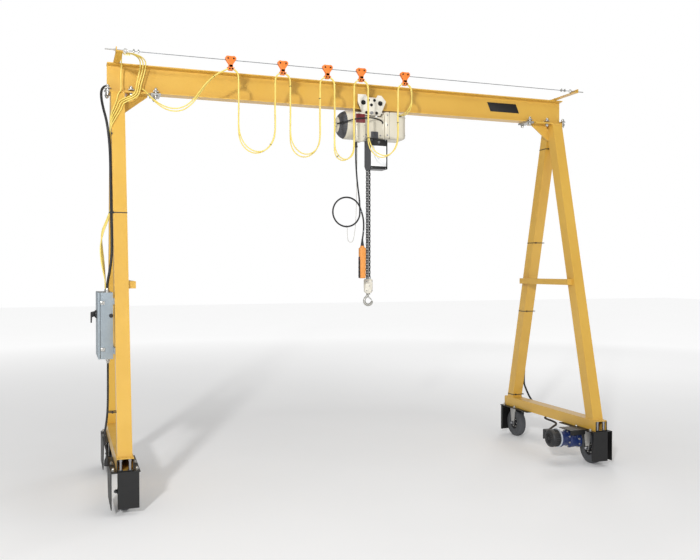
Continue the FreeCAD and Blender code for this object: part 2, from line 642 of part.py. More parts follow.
def enclosure():
    """A steel box with a hinged door, on two rails across the left A-frame."""
    x0, x1, y0, y1, z0, z1 = ENCLOSURE
    outer = box(x0, x1, y0, y1, z0, z1)
    inner = box(x0, x1 - 2, y0 + 2, y1 - 2, z0 + 2, z1 - 2)
    shell = outer.cut(inner)
    door = box(x0 - 1 - DOOR_THICK, x0 - 1, y0 - 2, y1 + 2, z0 - 2, z1 + 2)
    bore = rod((HINGE_X, HINGE_Y, z0), Z_DIR, z1 - z0, PIN_R + RUNNING_FIT)
    for z in HINGE_Z:
        for low in (z - 34, z + 14):
            leaf = box(HINGE_X, x0 + 24, y1 + 4, HINGE_Y, low, low + 20)
            spacer = box(x0 + 2, x0 + 24, y1, HINGE_Y, low, low + 20)
            shell = shell.fuse([knuckle(low, 20, leaf), spacer])
        shell = shell.fuse(rod((HINGE_X, HINGE_Y, z - 34), Z_DIR, 68, PIN_R))
        leaf = box(HINGE_X - DOOR_THICK / 2, HINGE_X, y1 + 2, HINGE_Y, z - 13, z + 13)
        door = door.fuse(knuckle(z - 13, 26, leaf).cut(bore))
    save("control_enclosure", shell)
    rails = []
    for z in (z0 + 60, z1 - 60):
        reach = leg_y(z) + 30
        rails.append(box(x1, -LEG_X - LEG / 2, -reach, reach, z - 20, z + 20))
    save("enclosure_rails", *rails)
    hole = rod((x0 - 40, HANDLE_Y, HANDLE_Z), X_DIR, 60, 6)
    save("enclosure_door", door.cut(hole))
    face = x0 - 1 - DOOR_THICK
    base = rod((face - 16, HANDLE_Y, HANDLE_Z), X_DIR, 15.9, 28)
    shaft = rod((face - 10, HANDLE_Y, HANDLE_Z), X_DIR, 18, 6 - RUNNING_FIT)
    grip = box(face - 42, face - 16, HANDLE_Y - 9, HANDLE_Y + 9, HANDLE_Z - 62, HANDLE_Z + 22)
    save("disconnect_handle", base.fuse([shaft, grip]))


def foot_cable():
    """The supply cable, from the box down the leg to a plug parked on the base beam."""
    points = [(-1956, -376, 990), (-1956, -376, 940), (-1957, -386, 870), (-1958, -404, 790),
              (-1960, -428, 710), (-1964, -456, 630), (-1975, -484, 556), (-1988, -506, 492),
              (-1984, -520, 436), (-1972, -524, 392), (-1972, -524, 360)]
    save("supply_cable", tube(points, 7, "supply cable"))
    plug = rod((-1972, -524, 290), Z_DIR, 70, 20)
    save("supply_plug", plug)


bridge_beam()
a_frames()
beam_clamps()
base_beams()
running_gear()
travel_drive()
festoon()
hoist_trolley()
hoist_body()
chain_container()
hook_and_chain()
pendant()
enclosure()
control_cables()
drive_cable()
foot_cable()
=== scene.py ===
import math
import bpy
from mathutils import Matrix, Vector


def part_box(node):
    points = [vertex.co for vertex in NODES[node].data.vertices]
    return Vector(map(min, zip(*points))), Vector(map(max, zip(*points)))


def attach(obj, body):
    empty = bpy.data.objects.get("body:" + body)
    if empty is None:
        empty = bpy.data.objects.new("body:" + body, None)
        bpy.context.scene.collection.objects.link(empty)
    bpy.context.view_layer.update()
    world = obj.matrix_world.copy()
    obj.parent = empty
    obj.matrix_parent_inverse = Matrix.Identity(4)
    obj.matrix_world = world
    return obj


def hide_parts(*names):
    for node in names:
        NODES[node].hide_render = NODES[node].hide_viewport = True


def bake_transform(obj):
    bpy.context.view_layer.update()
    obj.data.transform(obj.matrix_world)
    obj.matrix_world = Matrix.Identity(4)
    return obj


# A small travelling gantry crane: yellow beam and A-frames on rubber wheels, a cream chain hoist
# under the beam and a cable festoon on a wire beside it. Metres, in the crane's own frame:
# X along the beam, Y away from the festoon side, Z up, the floor at Z = 0.

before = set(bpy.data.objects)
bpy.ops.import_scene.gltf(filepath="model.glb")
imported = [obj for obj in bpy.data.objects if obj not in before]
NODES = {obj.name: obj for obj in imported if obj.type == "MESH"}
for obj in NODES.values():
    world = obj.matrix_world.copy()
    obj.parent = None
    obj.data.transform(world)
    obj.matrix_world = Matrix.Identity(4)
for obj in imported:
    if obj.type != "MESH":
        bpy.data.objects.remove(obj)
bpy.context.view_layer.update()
SIDES = {"left": -1, "right": 1}
DEPTHS = {"near": -1, "far": 1}
UP, DOWN = (0, 0, 1), (0, 0, -1)
bpy.ops.object.select_all(action="DESELECT")


# ================================================================ modelling with the edit tools
def alone(piece):
    """Selects one piece and makes it the active one."""
    bpy.ops.object.select_all(action="DESELECT")
    piece.select_set(True)
    bpy.context.view_layer.objects.active = piece


def settle(piece):
    """Puts a piece's place, turn and size into its mesh."""
    alone(piece)
    bpy.ops.object.transform_apply(location=True, rotation=True, scale=True)
    return piece


def applied(piece, modifier):
    """Makes a modifier's result the piece's own mesh."""
    alone(piece)
    bpy.ops.object.modifier_apply(modifier=modifier.name)
    return piece


def rounded(piece, radius, steps=2):
    """Rounds a piece's sharp edges."""
    bevel = piece.modifiers.new("rounding", "BEVEL")
    bevel.width = radius
    bevel.segments = steps
    bevel.limit_method = "ANGLE"
    bevel.angle_limit = math.radians(35)
    return applied(piece, bevel)


def rowed(piece, count, step):
    """Repeats a piece in a straight row."""
    row = piece.modifiers.new("row", "ARRAY")
    row.count = count
    row.use_relative_offset = False
    row.use_constant_offset = True
    row.constant_offset_displace = step
    return applied(piece, row)


def block(low, high, rounding=0.0, steps=2):
    """A box between two corners, with rounded edges."""
    corner = Vector([min(pair) for pair in zip(low, high)])
    other = Vector([max(pair) for pair in zip(low, high)])
    bpy.ops.mesh.primitive_cube_add(size=1, location=(corner + other) / 2)
    piece = bpy.context.object
    piece.scale = other - corner
    settle(piece)
    return rounded(piece, rounding, steps) if rounding else piece


def trace(points):
    """Draws a line of edges by extruding one corner from point to point; stays in edit mode."""
    bpy.ops.object.select_all(action="DESELECT")
    bpy.ops.mesh.primitive_plane_add(size=0.01, location=(0, 0, 0))
    bpy.ops.object.mode_set(mode="EDIT")
    bpy.ops.mesh.select_mode(type="VERT")
    bpy.ops.mesh.select_all(action="SELECT")
    bpy.ops.mesh.merge(type="CENTER")
    bpy.ops.transform.translate(value=points[0])
    for before, after in zip(points, points[1:]):
        step = Vector(after) - Vector(before)
        bpy.ops.mesh.extrude_vertices_move(TRANSFORM_OT_translate={"value": step})
    bpy.ops.mesh.select_all(action="SELECT")
    bpy.ops.mesh.remove_doubles(threshold=1e-6)


def cut_plate(outline, push, rounding=0.0):
    """A flat plate: a closed outline, filled, and pushed to its thickness."""
    trace(list(outline) + [outline[0]])
    bpy.ops.mesh.edge_face_add()
    bpy.ops.mesh.extrude_region_move(TRANSFORM_OT_translate={"value": push})
    bpy.ops.mesh.select_all(action="SELECT")
    bpy.ops.mesh.normals_make_consistent(inside=False)
    bpy.ops.object.mode_set(mode="OBJECT")
    piece = bpy.context.object
    return rounded(piece, rounding) if rounding else piece


def turned(outline, centre, axis="X", steps=40):
    """Spins an outline of (place along the axis, radius) points into a round piece."""
    trace([(along, 0, radius) for along, radius in outline])
    bpy.ops.mesh.spin(steps=steps, angle=math.tau, center=(0, 0, 0), axis=(1, 0, 0))
    bpy.ops.mesh.select_all(action="SELECT")
    bpy.ops.mesh.remove_doubles(threshold=1e-5)
    bpy.ops.mesh.normals_make_consistent(inside=False)
    bpy.ops.object.mode_set(mode="OBJECT")
    piece = bpy.context.object
    turns = {"X": (0, 0, 0), "Y": (0, 0, math.pi / 2), "Z": (0, -math.pi / 2, 0)}
    piece.rotation_euler = turns[axis]
    piece.location = centre
    return settle(piece)


def joined(pieces):
    """Several pieces as one."""
    bpy.ops.object.select_all(action="DESELECT")
    for piece in pieces:
        piece.select_set(True)
    bpy.context.view_layer.objects.active = pieces[0]
    if len(pieces) > 1:
        bpy.ops.object.join()
    return settle(pieces[0])


def twin(source, place=Matrix()):
    """A copy of a piece with a mesh of its own, moved to a place."""
    copy = source.copy()
    copy.data = source.data.copy()
    bpy.context.scene.collection.objects.link(copy)
    copy.matrix_world = place @ source.matrix_world
    return copy


def spread(source, places):
    """Copies of a small part at many places, joined; the part itself goes."""
    made = joined([twin(source, place) for place in places])
    bpy.data.objects.remove(source)
    return made


def stood(point, axis=UP, turn=0.0):
    """The place of a small part that was made standing on the origin."""
    upright = Vector(axis).to_track_quat("Z", "Y").to_matrix().to_4x4()
    return Matrix.Translation(point) @ upright @ Matrix.Rotation(turn, 4, "Z")


def around(centre, count):
    """The turns of a part that stands on the axis, evenly round a centre along X."""
    return [Matrix.Translation(centre) @ Matrix.Rotation(math.tau * number / count, 4, "X")
            for number in range(count)]


def circle_of(centre, radius, count, facing, start=0.5):
    """Places of small parts evenly round a circle, all facing the same way along X."""
    x, y, z = centre
    places = []
    for number in range(count):
        angle = math.tau * (number + start) / count
        places.append(stood((x, y + radius * math.cos(angle), z + radius * math.sin(angle)), facing))
    return places


def finished(piece, name, material, body="root", replaces=(), smooth=38):
    """Names a piece, smooths it, gives it its finish and lets it ride on its body."""
    settle(piece)
    piece.name = piece.data.name = name
    bpy.ops.object.shade_smooth_by_angle(angle=math.radians(smooth))
    piece.data.materials.clear()
    piece.data.materials.append(material)
    if replaces:
        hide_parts(*replaces)
    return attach(piece, body)


def dress(material, *names):
    """Gives CAD nodes their finish."""
    for name in names:
        node = NODES[name]
        if not node.material_slots:
            node.data.materials.append(material)
        for place in node.material_slots:
            place.material = material


# ================================================================ small parts
def bolt_head(across):
    """A hexagon head or nut on a washer, with the end of its thread."""
    height = across * 0.62
    base = across * 0.14
    bpy.ops.mesh.primitive_cylinder_add(vertices=6, radius=across / math.sqrt(3), depth=height,
                                        location=(0, 0, base + height / 2))
    head = settle(bpy.context.object)
    parts = [rounded(head, across * 0.06, 1)]
    bpy.ops.mesh.primitive_cylinder_add(vertices=14, radius=across * 0.28, depth=across * 0.3,
                                        location=(0, 0, base + height + across * 0.1))
    parts.append(rounded(settle(bpy.context.object), across * 0.05, 1))
    bpy.ops.mesh.primitive_cylinder_add(vertices=24, radius=across * 0.74, depth=base,
                                        location=(0, 0, base / 2))
    parts.append(rounded(settle(bpy.context.object), base * 0.25, 1))
    return joined(parts)


def screw_head(radius):
    """A low domed head with a hexagon socket."""
    profile = [(0, 0), (0, radius), (radius * 0.35, radius * 0.96), (radius * 0.6, radius * 0.7),
               (radius * 0.66, radius * 0.42), (radius * 0.3, radius * 0.4), (radius * 0.3, 0)]
    return turned(profile, (0, 0, 0), "Z", 12)


def weld_line(start, end, size):
    """A run of overlapping weld ripples from one point to another."""
    start, end = Vector(start), Vector(end)
    count = max(2, round((end - start).length / (size * 0.55)))
    bpy.ops.mesh.primitive_uv_sphere_add(segments=8, ring_count=5, radius=size, location=(0, 0, 0))
    ripple = bpy.context.object
    ripple.rotation_euler = (end - start).to_track_quat("X", "Z").to_euler()
    ripple.scale = (0.55, 1, 1)
    ripple.location = start
    return rowed(settle(ripple), count, (end - start) / (count - 1))


# ================================================================ finishes
def tone(code):
    """A colour as sRGB hex digits, for the shader."""
    channels = [int(code[i:i + 2], 16) / 255 for i in (0, 2, 4)]
    return tuple(((c + 0.055) / 1.055) ** 2.4 if c > 0.04045 else c / 12.92
                 for c in channels) + (1.0,)


def group(name, inputs, outputs):
    """An empty node group with named sockets."""
    tree = bpy.data.node_groups.new(name, "ShaderNodeTree")
    for label, start in inputs.items():
        tree.interface.new_socket(label, in_out="INPUT", socket_type="NodeSocketFloat").default_value = start
    for label in outputs:
        tree.interface.new_socket(label, in_out="OUTPUT", socket_type="NodeSocketFloat")
    return tree, tree.nodes.new("NodeGroupInput").outputs, tree.nodes.new("NodeGroupOutput").inputs


def put(tree, kind, **values):
    """Adds a node. A value that is another node's socket is linked, and any other is set."""
    made = tree.nodes.new(kind)
    for key, value in values.items():
        if hasattr(made, key):
            setattr(made, key, value)
            continue
        socket = made.inputs[int(key[2:]) if key.startswith("in") else key.replace("_", " ")]
        if isinstance(value, bpy.types.NodeSocket):
            tree.links.new(value, socket)
        else:
            socket.default_value = value
    return made


def maths(tree, operation, first, second=0.5):
    """A sum on two numbers or sockets, by the operation named."""
    return put(tree, "ShaderNodeMath", operation=operation, in0=first, in1=second).outputs[0]


def remap(tree, value, low, high, out_low, out_high):
    """Carries a value from one range over to another."""
    return put(tree, "ShaderNodeMapRange", Value=value, From_Min=low, From_Max=high,
               To_Min=out_low, To_Max=out_high).outputs[0]


def mixed(tree, share, first, second):
    """Two colours mixed by a share."""
    return put(tree, "ShaderNodeMix", data_type="RGBA", in0=share, in6=first, in7=second).outputs[2]


def object_place(tree):
    """The piece's own coordinates."""
    return put(tree, "ShaderNodeTexCoord").outputs["Object"]


def noise(tree, scale, detail=3.0, place=None, roughness=0.55):
    """Noise over the piece's own coordinates, or over the place given."""
    place = place or object_place(tree)
    return put(tree, "ShaderNodeTexNoise", Vector=place, Scale=scale, Detail=detail,
               Roughness=roughness).outputs[0]


def stretched(tree, scale):
    """Object coordinates squeezed by a different amount along each axis."""
    return put(tree, "ShaderNodeMapping", Vector=object_place(tree), Scale=scale).outputs[0]


def make_orange_peel():
    """The low ripple of sprayed enamel: a height."""
    tree, given, out = group("orange_peel", {"Scale": 220.0, "Runs": 0.3}, ["Height"])
    fine = noise(tree, given["Scale"], 2.0)
    broad = noise(tree, maths(tree, "MULTIPLY", given["Scale"], 0.12), 2.0)
    tree.links.new(maths(tree, "ADD", fine, maths(tree, "MULTIPLY", broad, given["Runs"])), out[0])
    return tree


def make_edge_wear():
    """How near a sharp edge is, broken up by noise: a mask."""
    tree, given, out = group("edge_wear", {"Radius": 0.004, "Amount": 0.5, "Scale": 30.0}, ["Mask"])
    softened = put(tree, "ShaderNodeBevel", samples=4, Radius=given["Radius"]).outputs[0]
    true_normal = put(tree, "ShaderNodeNewGeometry").outputs["Normal"]
    likeness = put(tree, "ShaderNodeVectorMath", operation="DOT_PRODUCT", in0=softened,
                   in1=true_normal).outputs["Value"]
    edge = remap(tree, maths(tree, "SUBTRACT", 1.0, likeness), 0.01, 0.16, 0.0, 1.0)
    broken = remap(tree, noise(tree, given["Scale"], 5.0), 0.42, 0.62, 0.0, 1.0)
    tree.links.new(maths(tree, "MULTIPLY", maths(tree, "MULTIPLY", edge, broken), given["Amount"]),
                   out[0])
    return tree


def make_settled_dust():
    """Dust that lies on upward faces: a mask."""
    tree, given, out = group("settled_dust", {"Amount": 0.3, "Scale": 12.0}, ["Mask"])
    normal = put(tree, "ShaderNodeNewGeometry").outputs["Normal"]
    height = put(tree, "ShaderNodeSeparateXYZ", Vector=normal).outputs["Z"]
    facing = remap(tree, height, 0.3, 0.95, 0.0, 1.0)
    patches = remap(tree, noise(tree, given["Scale"], 6.0), 0.35, 0.75, 0.25, 1.0)
    tree.links.new(maths(tree, "MULTIPLY", maths(tree, "MULTIPLY", facing, patches), given["Amount"]),
                   out[0])
    return tree


def make_fine_grain():
    """Fine speckle of moulded, cast or coated surfaces: a height and a mask."""
    tree, given, out = group("fine_grain", {"Scale": 400.0, "Coarse": 0.4}, ["Height", "Mask"])
    cells = put(tree, "ShaderNodeTexVoronoi", Vector=object_place(tree), Scale=given["Scale"])
    broad = noise(tree, maths(tree, "MULTIPLY", given["Scale"], 0.2), 4.0)
    height = maths(tree, "ADD", cells.outputs["Distance"], maths(tree, "MULTIPLY", broad, given["Coarse"]))
    tree.links.new(height, out[0])
    tree.links.new(remap(tree, broad, 0.3, 0.7, 0.0, 1.0), out[1])
    return tree


ORANGE_PEEL = make_orange_peel()
EDGE_WEAR = make_edge_wear()
SETTLED_DUST = make_settled_dust()
FINE_GRAIN = make_fine_grain()
DUST_TONE = tone("b9b1a4")


def use(tree, which, **values):
    """The outputs of a shared group, run with these inputs."""
    made = tree.nodes.new("ShaderNodeGroup")
    made.node_tree = which
    for label, value in values.items():
        made.inputs[label].default_value = value
    return made.outputs


def blank(name):
    """A new material, with its tree and its shader."""
    material = bpy.data.materials.new(name)
    material.use_nodes = True
    tree = material.node_tree
    return material, tree, tree.nodes["Principled BSDF"]


def relief(tree, shader, height, distance, strength=1.0):
    """Turns a height into the shader's normal; distance is its depth in metres."""
    bump = put(tree, "ShaderNodeBump", Height=height, Distance=distance, Strength=strength)
    tree.links.new(bump.outputs[0], shader.inputs["Normal"])


def enamel(name, base, deep, roughness, peel=0.00006, peel_scale=260.0, coat=0.25, wear=0.0,
           worn="6d6a66", dust=0.15, patch=2.2):
    """Sprayed paint: tone drifting over the piece, orange peel, dust on top, worn edges."""
    material, tree, shader = blank(name)
    drift = remap(tree, noise(tree, patch, 4.0), 0.3, 0.7, 0.0, 1.0)
    colour = mixed(tree, drift, tone(base), tone(deep))
    if wear:
        edge = use(tree, EDGE_WEAR, Amount=wear)[0]
        colour = mixed(tree, edge, colour, tone(worn))
    dusty = use(tree, SETTLED_DUST, Amount=dust)[0]
    tree.links.new(mixed(tree, dusty, colour, DUST_TONE), shader.inputs["Base Color"])
    smudge = remap(tree, noise(tree, 17.0, 5.0), 0.3, 0.7, roughness - 0.05, roughness + 0.09)
    rough = maths(tree, "ADD", smudge, maths(tree, "MULTIPLY", dusty, 0.4))
    tree.links.new(rough, shader.inputs["Roughness"])
    shader.inputs["Coat Weight"].default_value = coat
    shader.inputs["Coat Roughness"].default_value = 0.12
    relief(tree, shader, use(tree, ORANGE_PEEL, Scale=peel_scale)[0], peel)
    return material


def moulded(name, base, deep, roughness, grain=0.00008, scale=700.0, metallic=0.0, sheen=0.0,
            dust=0.1):
    """Moulded plastic, rubber or a textured coating: grain, speckle and a little dust."""
    material, tree, shader = blank(name)
    fine = use(tree, FINE_GRAIN, Scale=scale)
    drift = remap(tree, noise(tree, 9.0, 5.0), 0.3, 0.7, 0.0, 1.0)
    colour = mixed(tree, drift, tone(base), tone(deep))
    speckled = mixed(tree, maths(tree, "MULTIPLY", fine[1], 0.25), colour, tone(deep))
    dusty = use(tree, SETTLED_DUST, Amount=dust, Scale=25.0)[0]
    tree.links.new(mixed(tree, dusty, speckled, DUST_TONE), shader.inputs["Base Color"])
    rough = remap(tree, fine[1], 0.0, 1.0, roughness - 0.06, roughness + 0.08)
    tree.links.new(rough, shader.inputs["Roughness"])
    shader.inputs["Metallic"].default_value = metallic
    shader.inputs["Sheen Weight"].default_value = sheen
    relief(tree, shader, fine[0], grain)
    return material


def metal(name, base, deep, roughness, lay=(40, 40, 40), groove=0.00003):
    """Plated or machined steel: streaks along its lay, spangle and tarnish."""
    material, tree, shader = blank(name)
    streaks = noise(tree, 12.0, 5.0, stretched(tree, lay))
    spangle = put(tree, "ShaderNodeTexVoronoi", Vector=object_place(tree), Scale=160.0)
    shade = maths(tree, "MULTIPLY", remap(tree, streaks, 0.3, 0.7, 0.0, 1.0),
                  remap(tree, spangle.outputs["Distance"], 0.0, 0.8, 0.5, 1.0))
    tree.links.new(mixed(tree, shade, tone(base), tone(deep)), shader.inputs["Base Color"])
    shader.inputs["Metallic"].default_value = 0.9
    rough = remap(tree, streaks, 0.3, 0.7, roughness - 0.08, roughness + 0.12)
    tree.links.new(rough, shader.inputs["Roughness"])
    relief(tree, shader, streaks, groove)
    return material


def jacket(name, base, deep, roughness, scuff="8d8878"):
    """A cable's extruded jacket: slight waviness, handling marks and scuffs."""
    material, tree, shader = blank(name)
    drift = remap(tree, noise(tree, 14.0, 4.0), 0.35, 0.65, 0.0, 1.0)
    marks = remap(tree, noise(tree, 60.0, 6.0), 0.62, 0.78, 0.0, 0.35)
    colour = mixed(tree, marks, mixed(tree, drift, tone(base), tone(deep)), tone(scuff))
    tree.links.new(colour, shader.inputs["Base Color"])
    tree.links.new(remap(tree, drift, 0.0, 1.0, roughness - 0.06, roughness + 0.1),
                   shader.inputs["Roughness"])
    relief(tree, shader, noise(tree, 90.0, 3.0), 0.00025)
    return material


def laid_strands(name, base, deep, roughness, pitch, metallic, depth):
    """Wire or fibre rope: strands as a spiral relief over the piece's length, with painted shade in the
    grooves between them.
    """
    material, tree, shader = blank(name)
    twist = put(tree, "ShaderNodeTexWave", Vector=stretched(tree, (1, 1, 1)), Scale=pitch,
                bands_direction="DIAGONAL", Distortion=0.4, Detail=1.0)
    # Painted shade: the deep colour darkens the spiral grooves between the strands
    shade = mixed(tree, twist.outputs["Fac"], tone(deep), tone(base))
    tree.links.new(shade, shader.inputs["Base Color"])
    tree.links.new(remap(tree, noise(tree, 50.0), 0.3, 0.7, roughness - 0.05, roughness + 0.1),
                   shader.inputs["Roughness"])
    shader.inputs["Metallic"].default_value = metallic
    relief(tree, shader, twist.outputs["Fac"], depth)
    return material


YELLOW = enamel("yellow_enamel", "d6ab48", "cfa240", 0.38, coat=0.25, wear=0.0, dust=0.06)
BLACK = enamel("black_coating", "0a0a0b", "101011", 0.5, coat=0.0, wear=0.2, worn="2c2c2e", dust=0.04)
CREAM = enamel("cream_enamel", "d6d0bf", "cbc5b3", 0.36, peel_scale=420.0, wear=0.25, worn="a8a496")
WHITE = enamel("white_enamel", "e4e0d3", "d8d3c5", 0.36, peel_scale=420.0, wear=0.25, worn="9d9a92")
BLUE = enamel("deep_blue_enamel", "162d66", "0f2049", 0.34, peel=0.0002, peel_scale=120.0, coat=0.3,
              wear=0.2, worn="47506a", dust=0.03)
MOTOR = enamel("motor_grey_enamel", "242527", "1c1d1f", 0.46, coat=0.05, peel=0.0001, wear=0.3, worn="6a6b6e")
BAND = enamel("pale_ring_enamel", "b9bfc6", "a4abb3", 0.35)
CHARCOAL = enamel("charcoal_enamel", "4a4b50", "3d3e43", 0.46, wear=0.35, worn="77787c", dust=0.12)
RED = enamel("dark_red_enamel", "7c1a22", "66141b", 0.38, wear=0.2)
SHEET_WHITE = enamel("white_panel", "f4f5f6", "eceef0", 0.5, coat=0.0, dust=0.0)
BOX_GREY = moulded("box_grey_coating", "96a1a8", "8a959d", 0.5, grain=0.00006, scale=520.0)
TYRE = moulded("grey_tyre_rubber", "515356", "47494c", 0.78, grain=0.0002, scale=260.0, dust=0.0)
HUB = moulded("black_cast_hub", "17171a", "232326", 0.5, grain=0.0003, scale=180.0, metallic=0.4)
ORANGE = moulded("orange_nylon", "ee8130", "e07424", 0.44, scale=600.0)
PENDANT = moulded("orange_pendant_shell", "e79a4a", "dc8d3c", 0.42, scale=650.0)
RUBBER = moulded("black_moulded_rubber", "18181a", "222224", 0.62, scale=500.0, sheen=0.1)
ZINC = metal("zinc_plate", "c9c8c4", "a3a29e", 0.34)
STEEL = metal("bright_steel", "a9aaad", "7d7e82", 0.3, lay=(8, 90, 90))
CHAIN_STEEL = metal("oiled_chain_steel", "242426", "131315", 0.42)
HOOK_STEEL = metal("forged_hook_steel", "c4c3bd", "9b9a94", 0.4, groove=0.0002)
YELLOW_JACKET = jacket("yellow_cable_jacket", "ecd676", "e2ca62", 0.42, scuff="b7a35a")
BLACK_JACKET = jacket("black_cable_jacket", "131416", "0d0e10", 0.5, scuff="37383b")
WIRE = laid_strands("stranded_wire", "a5a8ad", "5a5d62", 0.36, 90.0, 0.9, 0.0006)
ROPE = laid_strands("fibre_rope", "d9d6cc", "a9a59a", 0.8, 110.0, 0.0, 0.0009)
TIE = moulded("black_cable_tie", "151517", "1e1e20", 0.48, scale=900.0, dust=0.0)
# Painted shade: near-black for the fan cover's slots and the chain's mouth, where there is only shade inside
PAINTED_SHADE = moulded("dark_recess", "0c0c0d", "121213", 0.8, scale=300.0, dust=0.0)


# ================================================================ cables and ropes
def steered_line(name, points, smoothness, widths=None):
    """A smooth curve that its points steer, held by an object of its own."""
    curve = bpy.data.curves.new(name, "CURVE")
    curve.dimensions = "3D"
    curve.resolution_u = smoothness
    spline = curve.splines.new("NURBS")
    spline.points.add(len(points) - 1)
    for number, (point, place) in enumerate(zip(spline.points, points)):
        point.co = (*place, 1.0)
        point.radius = widths[number] if widths else 1.0
    spline.order_u = 3
    spline.use_endpoint_u = True
    line = bpy.data.objects.new(name + "_line", curve)
    bpy.context.scene.collection.objects.link(line)
    bpy.context.view_layer.update()
    return line


def thickened(name, line, radius, facets):
    """A round bar along a line, as a mesh; the line goes."""
    line.data.bevel_depth = radius
    line.data.bevel_resolution = facets
    line.data.use_fill_caps = True
    piece = bpy.data.objects.new(name, bpy.data.meshes.new_from_object(line))
    bpy.context.scene.collection.objects.link(piece)
    bpy.data.objects.remove(line)
    return piece


def cable(name, route, radius, material, body="root", replaces=(), declare=None):
    """A round cable whose centre line is the smooth curve of its route's points."""
    line = steered_line(name, route, 10)
    path = [tuple(corner.co) for corner in bpy.data.meshes.new_from_object(line).vertices]
    piece = thickened(name, line, radius, 3)
    if isinstance(body, str):
        finished(piece, name, material, body, replaces, smooth=80)
    else:
        settle(piece)
        bpy.ops.object.shade_smooth_by_angle(angle=math.radians(80))
        piece.data.materials.append(material)
        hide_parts(*replaces)
        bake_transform(piece)
    return piece, path


WIRE_Y, WIRE_Z = -0.335, 3.116
SADDLE_Z = WIRE_Z - 0.064
TROLLEY_X = [-1.095, -0.706, -0.358, -0.085, 0.281]
LOOP_LOW = [2.462, 2.462, 2.440, 2.484]
SLACK = [0.010, 0.020, 0.008, 0.014]
CABLE_R = 0.0045
STRAND_GAP = 0.012
ANCHOR_X = -1.720         # where the spacing of the trolleys shrinks to nothing


def strand_route(x0, x1, low, sway, side):
    """One strand between two trolleys: down, round the bowl and up, as unevenly as it hangs."""
    drop = SADDLE_Z - low
    half = (x1 - x0) / 2
    reach = half - 0.058
    straight = drop - 1.25 * reach - 0.142
    leaving = [(0.021, 0), (0.037, 0.00924), (0.0495, 0.024), (0.056, 0.042), (0.058, 0.078),
               (0.057, 0.142), (0.0595, 0.142 + 0.42 * straight), (0.0575, 0.142 + 0.78 * straight)]
    bowl = [(-1, 1.25), (-0.93, 0.78), (-0.71, 0.36), (-0.37, 0.09), (0, 0),
            (0.37, 0.09), (0.71, 0.36), (0.93, 0.78), (1, 1.25)]
    y = WIRE_Y + side * STRAND_GAP / 2
    down = [(x0 + across, y, SADDLE_Z - below) for across, below in leaving]
    up = [(x1 - across, y, SADDLE_Z - below) for across, below in leaving]
    round_x = (x0 + x1) / 2
    low_stretch = [(round_x + across * reach + sway * (1.25 - above), y, low + above * reach)
                   for across, above in bowl]
    return down + low_stretch + up[::-1]


def pair_of_strands(points):
    """Two strands side by side: along X at the first point, across the wire at the last."""
    routes = []
    last = len(points) - 1
    for side in (-1, 1):
        route = []
        for step, (x, y, z) in enumerate(points):
            share = min(1, max(0, (step - 1) / (last - 3)))
            apart = side * STRAND_GAP / 2
            bulge = side * 0.009 * math.sin(math.pi * share)
            route.append((x + apart * (1 - share), y + apart * share, z - bulge))
        routes.append(route)
    return routes


def travel_share(x):
    """How much of the hoist's travel a place on the wire follows."""
    return (x - ANCHOR_X) / (TROLLEY_X[-1] - ANCHOR_X)


def blend_between(x0, share0, x1, share1):
    """Two body names and two blend points for a loop, worked out from its ends' shares of the hoist's travel.
    """
    eased = [0.5 - math.sin(math.asin(1 - 2 * share) / 3) for share in (share0, share1)]
    span = (x1 - x0) / (eased[1] - eased[0])
    start = x0 - eased[0] * span
    return "root", "hoist", (start, 0, 0), (start + span, 0, 0)


def festoon_cables():
    """The two strands in each loop, and the small black ties that hold them together."""
    hanging = {"far_end": "object", "stiffness": "medium", "lay": "hanging"}
    lines = {}
    first = [(-1.702, -0.0035, 2.926), (-1.702, -0.032, 2.926), (-1.690, -0.064, 2.920),
             (-1.670, -0.104, 2.893), (-1.648, -0.152, 2.853), (-1.616, -0.210, 2.806),
             (-1.576, -0.264, 2.764), (-1.524, -0.306, 2.736), (-1.470, -0.330, 2.732),
             (-1.418, -0.338, 2.752), (-1.368, -0.335, 2.796), (-1.324, -0.336, 2.856),
             (-1.282, -0.334, 2.920), (-1.236, -0.336, 2.972), (-1.190, -0.334, 3.012),
             (-1.148, WIRE_Y, SADDLE_Z - 0.01848), (-1.116, WIRE_Y, SADDLE_Z)]
    ends = blend_between(first[0][0], 0.0, TROLLEY_X[0], travel_share(TROLLEY_X[0]))
    for letter, route in zip("ab", pair_of_strands(first)):
        lines["0" + letter] = cable("festoon_loop_0" + letter, route, CABLE_R, YELLOW_JACKET, ends,
                                    ["festoon_loop_0"], hanging)[1]
    for index, (x0, x1) in enumerate(zip(TROLLEY_X, TROLLEY_X[1:])):
        ends = blend_between(x0, travel_share(x0), x1, travel_share(x1))
        for letter, side, slack, sway in (("a", -1, 0, 0.004), ("b", 1, SLACK[index], -0.009)):
            route = strand_route(x0, x1, LOOP_LOW[index] - slack, sway, side)
            name = f"festoon_loop_{index + 1}"
            lines[f"{index + 1}{letter}"] = cable(name + letter, route, CABLE_R, YELLOW_JACKET, ends,
                                                  [name], hanging)[1]
    x = TROLLEY_X[-1]
    tail = [(0.336, -0.098, 2.850), (0.336, -0.134, 2.850), (0.336, -0.176, 2.844),
            (0.338, -0.224, 2.846), (0.342, -0.268, 2.860), (0.346, -0.304, 2.886),
            (0.346, -0.326, 2.926), (0.342, -0.334, 2.968), (x + 0.056, WIRE_Y + 0.001, SADDLE_Z - 0.042),
            (x + 0.0495, WIRE_Y, SADDLE_Z - 0.024), (x + 0.037, WIRE_Y, SADDLE_Z - 0.00924),
            (x + 0.021, WIRE_Y, SADDLE_Z)]
    for letter, route in zip("ab", pair_of_strands(tail)):
        cable("festoon_tail_" + letter, route, CABLE_R, YELLOW_JACKET, "hoist",
              ["festoon_tail"], hanging)
    strand_ties(lines)


